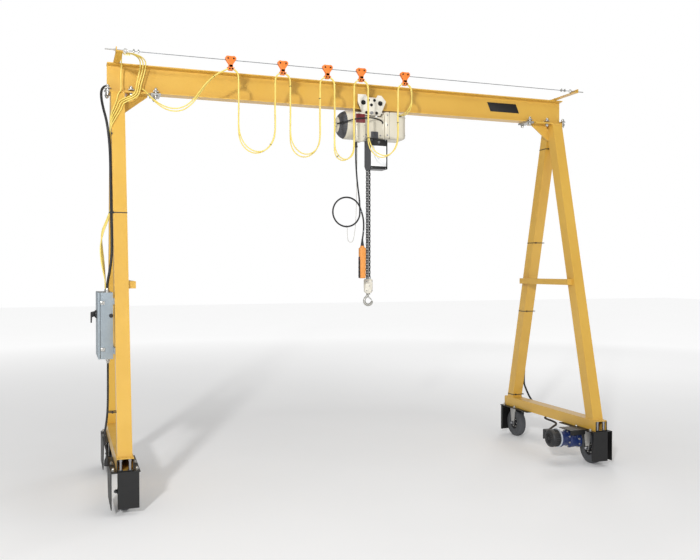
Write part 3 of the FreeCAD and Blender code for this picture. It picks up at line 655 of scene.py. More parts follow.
def strand_ties(lines):
    """Ties round both strands of a loop."""
    tied = {"0": (0.22, 0.86), "1": (0.60,), "2": (0.16, 0.80), "3": (0.42,), "4": (0.34, 0.74)}
    for loop, shares in tied.items():
        near, far = lines[loop + "a"], lines[loop + "b"]
        rings = []
        for share in shares:
            at = round(share * (len(near) - 1))
            middle = (Vector(near[at]) + Vector(far[at])) / 2
            way = Vector(near[at + 1]) - Vector(near[at - 1])
            rings.append(tie_ring(middle, way, Vector(far[at]) - Vector(near[at])))
        piece = joined(rings)
        piece.name = piece.data.name = f"strand_ties_{loop}"
        bpy.ops.object.shade_smooth_by_angle(angle=math.radians(40))
        piece.data.materials.append(TIE)
        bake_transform(piece)


def tie_ring(middle, way, apart):
    """A flat band round two strands, with its lock."""
    way = way.normalized()
    across = apart - way * apart.dot(way)
    wide = across.length / 2 + CABLE_R
    bpy.ops.mesh.primitive_cylinder_add(vertices=16, radius=CABLE_R + 0.0008, depth=0.0045,
                                        location=(0, 0, 0), end_fill_type="NGON")
    ring = settle(bpy.context.object)
    ring.scale = (wide / CABLE_R, 1.0, 1.0)
    lock = block((-0.003, CABLE_R - 0.001, -0.003), (0.003, CABLE_R + 0.004, 0.003), 0.0006, 1)
    band = joined([ring, lock])
    side = way.cross(across).normalized()
    turn = Matrix((across.normalized(), side, way)).transposed().to_4x4()
    band.matrix_world = Matrix.Translation(middle) @ turn
    return settle(band)


LEG_FACE = 0.0475         # half the leg tube
LEG_X = 1.865
LEG_HALF_IN_PLAN = LEG_FACE / math.cos(math.atan2(0.582, 2.513))


def leg_y(z):
    """Centre line of a leg, as a distance from the A-frame's middle."""
    return 0.029 + (0.582 / 2.513) * (2.884 - z)


def near_face(x, z, gap):
    """A point off the near face of the left near leg."""
    return (x, -leg_y(z) - LEG_HALF_IN_PLAN - gap, z)


def outer_face(z, lane, gap, side=-1, depth=-1):
    """A point off the outboard face of a leg, at a distance along the face from its middle."""
    return (side * (LEG_X + LEG_FACE + gap), depth * leg_y(z) + lane, z)


def control_cables():
    """Four control cables, from the beam's left end down the left near leg to the enclosure."""
    tops = (-1.841, -1.708, -1.689, -1.670)
    lows = (-1.843, -1.742, -1.727, -1.712)
    for number, (top_x, low_x) in enumerate(zip(tops, lows)):
        apart = number / 1000
        turn = 3 - number
        lane = 0.014 * turn - 0.021
        low_y = -0.093 - 2 * apart
        points = [(-1.836 + 12 * apart, -0.322, 3.090), (-1.836 + 12 * apart, -0.298, 3.108),
                  (-1.846 + (top_x + 1.846) * 0.35, -0.236, 3.128),
                  (-1.846 + (top_x + 1.846) * 0.75, -0.160, 3.134), (top_x, -0.100, 3.118),
                  (top_x + 0.002, -0.070, 3.076), (top_x * 0.7 + low_x * 0.3, -0.062, 3.012),
                  (top_x * 0.25 + low_x * 0.75, -0.064, 2.950), (low_x, low_y, 2.894),
                  (low_x - 0.020, low_y - 0.003, 2.870 - 8 * apart),
                  near_face(-1.872 + 14 * apart, 2.828 - 8 * apart, 0.007),
                  near_face(-1.886 + 15 * apart, 2.784 - 10 * apart, 0.007),
                  near_face(-1.9225, 2.696 - 26 * apart, 0.014)]
        points += [outer_face(2.566, lane, 0.008), outer_face(2.430, lane, 0.008),
                   outer_face(2.300, lane, 0.007), outer_face(2.170, lane, 0.009),
                   outer_face(2.040, lane, 0.008),
                   outer_face(1.950, lane + 0.006, 0.030 + 0.003 * turn),
                   outer_face(1.862, lane + 0.016, 0.066 + 0.004 * turn),
                   outer_face(1.764, lane + 0.020, 0.088 - 0.005 * turn),
                   outer_face(1.672, lane + 0.020, 0.084 - 0.007 * turn),
                   (-1.982 + 0.004 * turn, -0.316 + 0.014 * turn, 1.590),
                   (-1.966, -0.312 + 0.014 * turn, 1.520), (-1.966, -0.312 + 0.014 * turn, 1.444)]
        cable(f"control_cable_{number + 1}", points, CABLE_R, YELLOW_JACKET, "root",
              ["control_cables"])


def drive_cable():
    """The drive's black cable: up the left near leg, along the web and down the right far leg."""
    web_y, foot_z = 0.0165, 0.331
    points = [(-1.958, -0.352, 1.444), (-1.958, -0.352, 1.500), (-1.942, -0.360, 1.580),
              outer_face(1.690, -0.041, 0.013), outer_face(1.830, -0.039, 0.011),
              outer_face(1.980, -0.041, 0.012), outer_face(2.130, -0.039, 0.011),
              outer_face(2.280, -0.041, 0.012), outer_face(2.420, -0.039, 0.012),
              outer_face(2.540, -0.041, 0.018), (-1.946, -0.146, 2.660), (-1.968, -0.120, 2.750),
              (-1.980, -0.076, 2.836), (-1.976, -0.024, 2.900), (-1.952, web_y + 0.003, 2.938),
              (-1.895, web_y, 2.952), (1.895, web_y, 2.952), (1.946, web_y + 0.002, 2.936),
              (1.958, 0.030, 2.886), (1.934, 0.050, 2.800), outer_face(2.700, 0.010, 0.012, 1, 1),
              outer_face(2.500, 0.010, 0.010, 1, 1), outer_face(0.560, 0.010, 0.010, 1, 1),
              (1.938, 0.500, 0.420), (1.940, 0.420, foot_z + 0.018), (1.936, 0.320, foot_z),
              (1.938, 0.238, foot_z - 0.006), (1.941, 0.194, foot_z - 0.034), (1.932, 0.168, 0.262),
              (1.896, 0.136, 0.252), (1.850, 0.080, 0.254), (1.836, -0.090, 0.256),
              (1.792, -0.196, 0.256), (1.700, -0.260, 0.250), (1.610, -0.330, 0.238),
              (1.552, -0.390, 0.226), (1.540, -0.430, 0.222), (1.540, -0.438, 0.222)]
    cable("drive_cable_jacket", points, 0.009, BLACK_JACKET, "root", ["drive_cable"])


def pendant_route():
    """Down from the hoist, once round a loose ring that is tied up, and on to the pendant."""
    route = [(-0.052, -0.132, 2.612), (-0.052, -0.132, 2.570), (-0.053, -0.132, 2.516),
             (-0.052, -0.131, 2.450), (-0.048, -0.132, 2.380), (-0.041, -0.131, 2.300),
             (-0.032, -0.132, 2.226), (-0.022, -0.131, 2.160)]
    centre_x, centre_z, radius, turns = -0.134, 2.056, 0.119, 12
    for step in range(turns + 1):
        angle = math.radians(14 - 360 * step / turns)
        route.append((centre_x + radius * math.cos(angle), -0.132 - 0.018 * step / turns,
                      centre_z + radius * math.sin(angle)))
    route += [(0.004, -0.150, 2.010), (0.008, -0.150, 1.950), (0.006, -0.145, 1.890),
              (0, -0.138, 1.840), (0, -0.138, 1.790)]
    return route


def hanging_cords():
    """The pendant's cable, its strain rope, and the supply cable with its plug."""
    to_pendant = {"far_end": "object", "stiffness": "medium", "lay": "hanging"}
    _, path = cable("pendant_cable_jacket", pendant_route(), 0.0065, BLACK_JACKET, "hoist",
                    ["pendant_cable"], to_pendant)
    rope = [(-0.034, -0.112, 2.612), (-0.034, -0.112, 2.560), (-0.036, -0.114, 2.470),
            (-0.039, -0.116, 2.350), (-0.042, -0.117, 2.215), (-0.043, -0.116, 2.100),
            (-0.046, -0.114, 2.010), (-0.051, -0.112, 1.930), (-0.058, -0.112, 1.885),
            (-0.064, -0.112, 1.850), (-0.070, -0.113, 1.830), (-0.083, -0.113, 1.818),
            (-0.098, -0.114, 1.818), (-0.111, -0.113, 1.830), (-0.116, -0.114, 1.850),
            (-0.120, -0.114, 1.888), (-0.119, -0.114, 1.940)]
    cable("strain_rope_line", rope, 0.002, ROPE, "hoist", ["strain_rope"],
          {"far_end": "knot", "stiffness": "limp", "lay": "hanging"})
    supply = [(-1.956, -0.376, 0.990), (-1.956, -0.376, 0.940), (-1.957, -0.386, 0.870),
              (-1.958, -0.404, 0.790), (-1.960, -0.428, 0.710), (-1.964, -0.456, 0.630),
              (-1.975, -0.484, 0.556), (-1.988, -0.506, 0.492), (-1.984, -0.520, 0.436),
              (-1.972, -0.524, 0.392), (-1.972, -0.524, 0.360)]
    cable("supply_cable_jacket", supply, 0.007, BLACK_JACKET, "root",
          ["supply_cable"], {"far_end": "plug", "stiffness": "medium", "lay": "hanging",
                             "with_pieces": [supply_plug()]})
    rings = []
    last = len(path) - 1
    heights = ((2.147, 0.10, 0.40), (1.937, 0.40, 0.80), (2.068, 0.80, 0.99), (1.905, 0.80, 0.99))
    for height, low, high in heights:
        span = range(max(1, round(low * last)), round(high * last))
        at = min(span, key=lambda index: abs(path[index][2] - height))
        way = Vector(path[at + 1]) - Vector(path[at - 1])
        bpy.ops.mesh.primitive_cylinder_add(vertices=18, radius=0.0078, depth=0.006)
        ring = bpy.context.object
        ring.matrix_world = stood(path[at], way)
        rings.append(rounded(settle(ring), 0.0008, 1))
    finished(joined(rings[:2]), "pendant_cable_bands", TIE, "hoist")
    finished(joined(rings[2:]), "pendant_cable_tags", BAND, "hoist")


def supply_plug():
    """A black rubber plug with a ribbed grip and a tapered relief on its cable."""
    low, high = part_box("supply_plug")
    x, y = (low.x + high.x) / 2, (low.y + high.y) / 2
    profile = [(0, 0), (0, 0.017), (0.004, 0.0195), (0.020, 0.0198), (0.024, 0.0175),
               (0.028, 0.0192), (0.032, 0.0172), (0.036, 0.0187), (0.040, 0.0165), (0.046, 0.0155),
               (0.052, 0.0105), (0.070, 0.0082), (0.070, 0)]
    return finished(turned(profile, (x, y, low.z), "Z"), "supply_plug_body", RUBBER, "root",
                    ["supply_plug"])


# ================================================================ camera, light and floor
def camera_and_light():
    """The view from the near left, and a soft studio key with broad fills."""
    seen = bpy.data.cameras.new("viewpoint")
    seen.lens = 40.55
    seen.sensor_width = 36.0
    seen.clip_end = 60.0
    viewpoint = bpy.data.objects.new("viewpoint", seen)
    viewpoint.location = (-2.240, -6.012, 1.601)
    viewpoint.rotation_euler = (math.radians(89.24), 0, math.radians(-19.98))
    bpy.context.scene.collection.objects.link(viewpoint)
    bpy.context.scene.camera = viewpoint
    for name, place, target, size, power in (
            ("key", (-5.4, -8.8, 4.6), (0, 0, 1.9), 0.7, 640),
            ("front_fill", (2.5, -9.0, 2.4), (0, 0, 1.5), 5.0, 90),
            ("top_fill", (0.0, -1.0, 7.5), (0, 0, 1.0), 6.0, 110),
            ("rim", (6.0, 6.0, 5.0), (0, 0, 1.5), 3.0, 90)):
        lamp = bpy.data.lights.new(name, "AREA")
        lamp.shape = "DISK"
        lamp.size = size
        lamp.energy = power
        stand = bpy.data.objects.new(name, lamp)
        stand.location = place
        stand.rotation_euler = (Vector(place) - Vector(target)).to_track_quat("Z", "Y").to_euler()
        bpy.context.scene.collection.objects.link(stand)
    surround = bpy.data.worlds.new("studio")
    surround.use_nodes = True
    tree = surround.node_tree
    backdrop = tree.nodes["Background"]
    backdrop.inputs["Color"].default_value = (1.0, 1.0, 1.0, 1.0)
    seen_directly = put(tree, "ShaderNodeLightPath").outputs["Is Camera Ray"]
    tree.links.new(remap(tree, seen_directly, 0.0, 1.0, 0.36, 1.0), backdrop.inputs["Strength"])
    bpy.context.scene.world = surround
    bpy.context.scene.view_settings.view_transform = "Standard"


def floor():
    """A plain pale floor, not part of the crane."""
    bpy.ops.mesh.primitive_plane_add(size=60, location=(0, 0, 0))
    ground = bpy.context.object
    ground.name = "studio_floor"
    material, tree, shader = blank("pale_floor")
    faint = remap(tree, noise(tree, 0.8, 2.0), 0.3, 0.7, 0.84, 0.86)
    tree.links.new(put(tree, "ShaderNodeCombineColor", in0=faint, in1=faint, in2=faint).outputs[0],
                   shader.inputs["Base Color"])
    shader.inputs["Roughness"].default_value = 0.7
    shader.inputs["Emission Color"].default_value = (1.0, 1.0, 1.0, 1.0)
    away = put(tree, "ShaderNodeVectorMath", operation="LENGTH", in0=object_place(tree)).outputs["Value"]
    glow = remap(tree, away, 2.5, 12.0, 0.10, 0.62)
    tree.links.new(glow, shader.inputs["Emission Strength"])
    ground.data.materials.append(material)


# ================================================================ steelwork
def steel_frame():
    """Beam, A-frames and base beams keep their shapes; welds, bolts, ties and a plate are added."""
    yellow = ["bridge_beam", "cap_plates", "cap_gussets", "cross_bars", "left_base_beam",
              "right_base_beam", "festoon_arms"]
    yellow += [f"{side}_{depth}_leg" for side in SIDES for depth in DEPTHS]
    dress(YELLOW, *yellow)
    dress(ZINC, "beam_clamps", "left_wheel_forks", "right_wheel_forks", "wire_eye_bolts")
    dress(BLACK, "left_wheel_guards", "right_wheel_guards")
    dress(WIRE, "messenger_wire")
    welds()
    blank_plate()
    leg_ties()
    clamp_fittings()


def welds():
    """Weld beads where legs, plates, bars and base beams meet."""
    runs = []
    base_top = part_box("left_base_beam")[1].z
    cap_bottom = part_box("cap_plates")[0].z
    cross_bar_edges = 1.470, 1.520
    for side in SIDES.values():
        x = side * LEG_X
        for depth in DEPTHS.values():
            for z, size in ((base_top, 0.006), (cap_bottom, 0.005)):
                near = depth * (leg_y(z) + LEG_HALF_IN_PLAN)
                inner = depth * max(0.0, leg_y(z) - LEG_HALF_IN_PLAN)
                for edge in (-1, 1):
                    face = x + edge * LEG_FACE
                    runs.append(weld_line((face, inner, z), (face, near, z), size))
                runs.append(weld_line((x - LEG_FACE, near, z), (x + LEG_FACE, near, z), size))
        gusset_x = side * (LEG_X - LEG_FACE)
        for edge in (-0.006, 0.006):
            runs.append(weld_line((gusset_x, edge, cap_bottom - 0.138),
                                  (gusset_x, edge, cap_bottom - 0.030), 0.004))
            runs.append(weld_line((gusset_x - side * 0.030, edge, cap_bottom),
                                  (side * 1.655, edge, cap_bottom), 0.004))
        for depth in DEPTHS.values():
            for z in cross_bar_edges:
                middle = depth * leg_y(z)
                runs.append(weld_line((gusset_x, middle - 0.040, z), (gusset_x, middle + 0.040, z),
                                      0.0035))
    finished(joined(runs), "weld_beads", YELLOW, "root", smooth=80)


def blank_plate():
    """A bare black plate, cut on the slant, on the near face of the web."""
    outline = [(1.236, -0.0045, 2.969), (1.521, -0.0045, 2.969), (1.487, -0.0045, 3.046),
               (1.202, -0.0045, 3.046)]
    plate = cut_plate(outline, (0, -0.0015, 0), 0.0004)
    finished(plate, "blank_plate", BLACK, "root")


def band_round(low, high, height, thick=0.0014):
    """A flat band round an upright rectangle, as a cable tie pulled tight."""
    piece = block((low[0], low[1], -height / 2), (high[0], high[1], height / 2))
    for face in piece.data.polygons:
        face.select = abs(face.normal.z) > 0.9
    bpy.ops.object.mode_set(mode="EDIT")
    bpy.ops.mesh.select_mode(type="FACE")
    bpy.ops.mesh.delete(type="ONLY_FACE")
    bpy.ops.mesh.select_all(action="SELECT")
    bpy.ops.mesh.normals_make_consistent(inside=False)
    bpy.ops.object.mode_set(mode="OBJECT")
    wall = piece.modifiers.new("wall", "SOLIDIFY")
    wall.thickness = thick
    wall.offset = 1
    applied(piece, wall)
    lock = block((low[0] + 0.020, low[1] - 0.006, -height), (low[0] + 0.030, low[1], height), 0.001, 1)
    return joined([piece, lock])


def leg_ties():
    """Black ties that hold the cables to the left near leg and the right far leg."""
    tie_width = 0.007
    half_x, half_y = LEG_FACE + 0.0005, LEG_HALF_IN_PLAN + 0.0005
    left = (-half_x - 0.024, -half_y), (half_x, half_y)
    strap = (-half_x - 0.050, -0.030), (-half_x, 0.024)
    right = (-half_x, -half_y), (half_x + 0.020, half_y)
    bands = []
    for side, (low, high), heights in ((-1, left, (2.569, 1.999)), (-1, strap, (0.654,)),
                                       (1, right, (2.680, 1.846, 1.210, 0.400))):
        for z in heights:
            tie = band_round(low, high, tie_width)
            tie.location = (side * LEG_X, side * leg_y(z), z)
            bands.append(settle(tie))
    finished(joined(bands), "leg_ties", TIE, "root")


def clamp_fittings():
    """Nuts, washers and clip plates on the bolts that clamp the beam's lower flange."""
    beam_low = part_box("bridge_beam")[0].z
    nuts, clips = [], []
    for side in SIDES.values():
        for x in (1.595, 1.770, 1.934):
            for y in (-0.060, 0.060):
                nuts.append(stood((side * x, y, beam_low - 0.014), DOWN, 0.4 * x))
                nuts.append(stood((side * x, y, beam_low + 0.016), UP, 0.9 * x))
                inward = -1 if y > 0 else 1
                clip = block((side * x - 0.020, y - inward * 0.014, beam_low + 0.0095),
                             (side * x + 0.020, y + inward * 0.030, beam_low + 0.016), 0.0015)
                clips.append(clip)
    finished(spread(bolt_head(0.024), nuts), "clamp_nuts", ZINC, "root")
    finished(joined(clips), "clamp_clips", ZINC, "root")


# ================================================================ wheels and guards
WHEEL_R = 0.127
WHEEL_Y = 0.575


def wheels():
    """Solid rubber tyres on dished black hubs, one set modelled and copied to each corner."""
    tread = [(-0.030, 0.058), (-0.0335, 0.066), (-0.0325, 0.078), (-0.0345, 0.082), (-0.0345, 0.088),
             (-0.0325, 0.092), (-0.0325, 0.106), (-0.030, 0.117), (-0.024, 0.1232), (-0.012, 0.1265),
             (0, 0.127), (0.012, 0.1265), (0.024, 0.1232), (0.030, 0.117), (0.0325, 0.106),
             (0.0325, 0.092), (0.0345, 0.088), (0.0345, 0.082), (0.0325, 0.078), (0.0335, 0.066),
             (0.030, 0.058), (-0.030, 0.058)]
    dish = [(-0.036, 0.0105), (-0.036, 0.022), (-0.030, 0.025), (-0.020, 0.028), (-0.017, 0.045),
            (-0.024, 0.053), (-0.027, 0.0585), (0.027, 0.0585), (0.024, 0.053), (0.017, 0.045),
            (0.020, 0.028), (0.030, 0.025), (0.036, 0.022), (0.036, 0.0105), (-0.036, 0.0105)]
    tyre = turned(tread, (0, 0, 0), "X", 72)
    hub = turned(dish, (0, 0, 0), "X", 48)
    studs = []
    for way in (-1, 1):
        studs += circle_of((way * 0.0175, 0, 0), 0.037, 6, (way, 0, 0), start=0)
    ring = spread(bolt_head(0.010), studs)
    for side_name, side in SIDES.items():
        for depth_name, depth in DEPTHS.items():
            name = f"{side_name}_{depth_name}_wheel"
            place = Matrix.Translation((side * LEG_X, depth * WHEEL_Y, WHEEL_R))
            finished(twin(tyre, place), name + "_tyre", TYRE, name, [name])
            finished(twin(hub, place), name + "_hub", HUB, name)
            finished(twin(ring, place), name + "_studs", ZINC, name)
    for spare in (tyre, hub, ring):
        bpy.data.objects.remove(spare)


def fork_fittings():
    """Axle nuts on the forks, and the bolts through guard, fork and base beam."""
    nuts, bolts, long_bolts = [], [], []
    for side in SIDES.values():
        for depth in DEPTHS.values():
            x, y = side * LEG_X, depth * WHEEL_Y
            for way in (-1, 1):
                nuts.append(stood((x + way * 0.0425, y, WHEEL_R), (way, 0, 0)))
            for dx in (-0.076, 0.076):
                for dy in (-0.085, 0.100):
                    bolts.append(stood((x + dx, y + dy, 0.285), UP, dy * 9))
            for dx in (-0.030, 0.030):
                long_bolts.append((x + dx, depth * 0.688, 0.291))
    finished(spread(bolt_head(0.024), nuts), "axle_nuts", STEEL, "root")
    finished(spread(bolt_head(0.020), bolts), "guard_bolts", ZINC, "root")
    spacers = []
    for x, y, z in long_bolts:
        profile = [(0, 0), (0, 0.016), (0.003, 0.017), (0.004, 0.0095), (0.060, 0.0095),
                   (0.061, 0.0135), (0.071, 0.0135), (0.074, 0.011), (0.074, 0)]
        spacers.append(turned(profile, (x, y, z), "Z", 20))
    finished(joined(spacers), "end_spacers", STEEL, "root")


def guard_lips():
    """Folded stiffening lips along the guards' end plates, and liners in the base beams' ends."""
    lips, liners = [], []
    for side in SIDES.values():
        for depth in DEPTHS.values():
            x, y, beam_x = side * (LEG_X - 0.018), depth * 0.712, side * LEG_X
            inside, outside = depth * 0.700, depth * 0.702
            for edge in (-1, 1):
                lips.append(block((x + edge * 0.068, y, 0.047), (x + edge * 0.064, y - depth * 0.022, 0.277),
                                  0.001, 1))
                liners.append(block((beam_x + edge * 0.055, inside, 0.285),
                                    (beam_x + edge * 0.048, outside, 0.364), 0.0005, 1))
            liners.append(block((beam_x - 0.055, inside, 0.285), (beam_x + 0.055, outside, 0.292),
                                0.0005, 1))
    finished(joined(lips), "guard_lips", BLACK, "root")
    finished(joined(liners), "beam_end_liners", BLACK, "root")


# ================================================================ travel drive
DRIVE_Y = -0.540
MOTOR_Z = 0.225


def travel_drive():
    """The gearmotor beside the right near wheel."""
    middle = (0, DRIVE_Y, MOTOR_Z)
    shell = turned([(1.473, 0), (1.473, 0.048), (1.476, 0.062), (1.484, 0.070), (1.494, 0.072),
                    (1.508, 0.072), (1.510, 0.066), (1.538, 0.066), (1.538, 0.070), (1.548, 0.070),
                    (1.548, 0)], middle, "X", 56)
    fin = block((1.510, -0.0013, 0.060), (1.537, 0.0013, 0.0715), 0.0005, 1)
    slot_bar = block((1.4710, -0.0022, 0.014), (1.4745, 0.0022, 0.044), 0.0006, 1)
    lid = block((1.487, -0.500, 0.203), (1.543, -0.440, 0.279), 0.005, 3)
    cap = block((1.485, -0.443, 0.201), (1.545, -0.4385, 0.2815), 0.002, 2)
    motor = joined([shell, spread(fin, around(middle, 26)), lid, cap])
    finished(motor, "motor_shell", MOTOR, "root", ["drive_motor"])
    # The fan cover's slots are dark bars of painted shade
    finished(spread(slot_bar, around(middle, 16)), "fan_slots", PAINTED_SHADE, "root")
    flange = turned([(1.548, 0.040), (1.548, 0.074), (1.550, 0.077), (1.557, 0.077), (1.560, 0.074),
                     (1.560, 0.040), (1.548, 0.040)], middle, "X", 56)
    finished(flange, "motor_ring", BAND, "root", ["drive_flange"])
    gearbox()


def gearbox():
    """The blue gear case: two round bolted housings, ribs, its foot and the black bracket over it."""
    front_z, rear_y, rear_z = MOTOR_Z - 0.010, DRIVE_Y - 0.006, MOTOR_Z - 0.032
    front = turned([(1.560, 0), (1.560, 0.066), (1.566, 0.068), (1.576, 0.068), (1.580, 0.061),
                    (1.636, 0.058), (1.640, 0.066), (1.658, 0.067), (1.664, 0.060), (1.668, 0)],
                   (0, DRIVE_Y, front_z), "X", 48)
    rear = turned([(1.652, 0), (1.652, 0.050), (1.658, 0.055), (1.732, 0.051), (1.736, 0.056),
                   (1.754, 0.057), (1.760, 0.050), (1.762, 0.028), (1.767, 0.026), (1.767, 0)],
                  (0, rear_y, rear_z), "X", 44)
    foot = block((1.669, DRIVE_Y - 0.047, 0.198), (1.761, DRIVE_Y + 0.051, 0.279), 0.006, 3)
    parts = [front, rear, foot]
    for x in (1.592, 1.608, 1.624):
        low, high = (x, DRIVE_Y - 0.064, front_z - 0.020), (x + 0.005, DRIVE_Y + 0.064, front_z + 0.020)
        parts.append(block(low, high, 0.0015, 1))
    for x in (1.688, 1.712):
        low, high = (x, DRIVE_Y - 0.054, rear_z - 0.024), (x + 0.005, DRIVE_Y + 0.050, rear_z + 0.060)
        parts.append(block(low, high, 0.0015, 1))
    finished(joined(parts), "gear_case", BLUE, "root", ["drive_gearbox"])
    bolts = circle_of((1.639, DRIVE_Y, front_z), 0.062, 8, (-1, 0, 0))
    bolts += circle_of((1.735, rear_y, rear_z), 0.0525, 8, (-1, 0, 0))
    for x in (1.682, 1.748):
        bolts.append(stood((x, DRIVE_Y - 0.047, 0.266), (0, -1, 0)))
    finished(spread(bolt_head(0.011), bolts), "gear_case_bolts", ZINC, "root")
    roof = block((1.628, -0.620, 0.2855), (1.808, -0.460, 0.2915), 0.001, 1)
    cheek = block((1.628, -0.620, 0.252), (1.770, -0.614, 0.287), 0.001, 1)
    pad = block((1.676, -0.580, 0.276), (1.756, -0.492, 0.287), 0.001, 1)
    finished(joined([roof, cheek, pad]), "drive_bracket", BLACK, "root")


# ================================================================ festoon trolleys
def festoon_trolleys():
    """Orange twin-cheek trolleys with rollers on the wire and dark bolts at the saddle."""
    roller_x, roller_z, lobe = 0.021, 0.0105, 0.019
    outline = []
    for centre, first, last in ((roller_x, -40, 115), (-roller_x, 65, 220)):
        for step in range(7):
            angle = math.radians(first + (last - first) * step / 6)
            outline.append((centre + lobe * math.cos(angle), 0, roller_z + lobe * math.sin(angle)))
    outline += [(-0.016, 0, -0.030), (-0.015, 0, -0.058), (0.015, 0, -0.058), (0.016, 0, -0.030)]
    cheek = cut_plate(outline, (0, 0.006, 0), 0.0012)
    cheeks = spread(cheek, [Matrix.Translation((0, -0.013, 0)), Matrix.Translation((0, 0.007, 0))])
    saddle = cut_plate([(-0.027, -0.015, -0.0536), (0.027, -0.015, -0.0536), (0.015, -0.015, -0.0744),
                        (-0.015, -0.015, -0.0744)], (0, 0.030, 0), 0.0015)
    core = block((-0.013, -0.013, -0.052), (0.013, 0.013, -0.034), 0.001, 1)
    body = joined([cheeks, saddle, core])
    groove = [(-0.009, 0.003), (-0.009, 0.0105), (-0.006, 0.0105), (-0.002, 0.0080), (0.002, 0.0080),
              (0.006, 0.0105), (0.009, 0.0105), (0.009, 0.003), (-0.009, 0.003)]
    roller = turned(groove, (0, 0, 0), "Y", 24)
    rollers = spread(roller, [Matrix.Translation((x, 0, roller_z)) for x in (-roller_x, roller_x)])
    heads = []
    for x in (-roller_x, roller_x):
        for way in (-1, 1):
            heads.append(stood((x, way * 0.013, roller_z), (0, way, 0)))
    for x in (-0.010, 0.010):
        for way in (-1, 1):
            heads.append(stood((x, way * 0.015, -0.064), (0, way, 0)))
    bolts = spread(bolt_head(0.0085), heads)
    for index, x in enumerate(TROLLEY_X):
        rides = "hoist" if index == 4 else f"cable_trolley_{index + 1}"
        name = f"festoon_trolley_{index + 1}"
        place = Matrix.Translation((x, WIRE_Y, WIRE_Z))
        finished(twin(body, place), name + "_body", ORANGE, rides, [name])
        finished(twin(rollers, place), name + "_rollers", STEEL, rides)
        finished(twin(bolts, place), name + "_bolts", HUB, rides)
    for spare in (body, rollers, bolts):
        bpy.data.objects.remove(spare)


def wire_ends():
    """Clamps and nuts where the wire is made off at its eye bolts."""
    low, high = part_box("messenger_wire")
    clips, nuts = [], []
    for end_x, way in ((low.x, 1), (high.x, -1)):
        for step in (0.030, 0.062):
            clips.append(block((end_x + way * step, WIRE_Y - 0.007, WIRE_Z - 0.010),
                               (end_x + way * (step + 0.010), WIRE_Y + 0.007, WIRE_Z + 0.006), 0.0015, 2))
            for y in (-0.004, 0.004):
                nuts.append(stood((end_x + way * (step + 0.005), WIRE_Y + y, WIRE_Z + 0.006), UP))
    for x, way in ((-1.894, -1), (1.872, 1)):
        nuts.append(stood((x + way * 0.001, WIRE_Y, WIRE_Z), (way, 0, 0)))
    finished(joined(clips), "wire_clips", ZINC, "root")
    finished(spread(bolt_head(0.009), nuts), "wire_nuts", ZINC, "root")
    flange_bolts = []
    for side in SIDES.values():
        for y in (-0.034, 0.034):
            flange_bolts.append(stood((side * 1.868, y, 3.105), UP, y * 20))
    finished(spread(bolt_head(0.017), flange_bolts), "arm_bolts", ZINC, "root")


# ================================================================ hoist
AXIS_Z = 2.767
CHAIN_X = 0.104


def hoist():
    """The chain hoist: motor, gear case, end cover, control box and trolley."""
    motor_end()
    gear_and_cover()
    control_box()
    trolley()
    front_cable()


def motor_end():
    """A round cream motor, domed at its end, with a dark ribbed vent band."""
    middle = (0, 0, AXIS_Z)
    profile = [(-0.172, 0), (-0.1715, 0.034), (-0.169, 0.052), (-0.165, 0.062), (-0.163, 0.058),
               (-0.148, 0.080), (-0.132, 0.095), (-0.112, 0.106), (-0.110, 0.1105), (-0.104, 0.113),
               (-0.096, 0.114), (-0.048, 0.114), (-0.046, 0.112), (-0.042, 0.112), (-0.040, 0.114),
               (0.016, 0.114), (0.022, 0.110), (0.022, 0)]
    finished(turned(profile, middle, "X", 72), "motor_housing", CREAM, "hoist",
             ["hoist_motor"])
    slope = [(-0.166, 0.057), (-0.165, 0.0625), (-0.151, 0.0825), (-0.135, 0.0975), (-0.112, 0.1100),
             (-0.110, 0.100), (-0.138, 0.074)]
    rib = cut_plate([(x, -0.0025, z) for x, z in slope], (0, 0.005, 0))
    ring = turned([(-0.1655, 0.052), (-0.1650, 0.0605), (-0.151, 0.0790), (-0.135, 0.0940),
                   (-0.111, 0.1070), (-0.111, 0.096), (-0.1655, 0.052)], middle, "X", 72)
    finished(joined([spread(rib, around(middle, 32)), ring]), "motor_vent_band", CHARCOAL, "hoist")
    screws = circle_of((-0.1712, 0, AXIS_Z), 0.022, 4, (-1, 0, 0))
    for turn in range(8):
        angle = math.tau * (turn + 0.5) / 8
        screws.append(stood((0.006, 0.1135 * math.cos(angle), AXIS_Z + 0.1135 * math.sin(angle)),
                            (0, math.cos(angle), math.sin(angle))))
    finished(spread(screw_head(0.006), screws), "motor_screws", STEEL, "hoist")


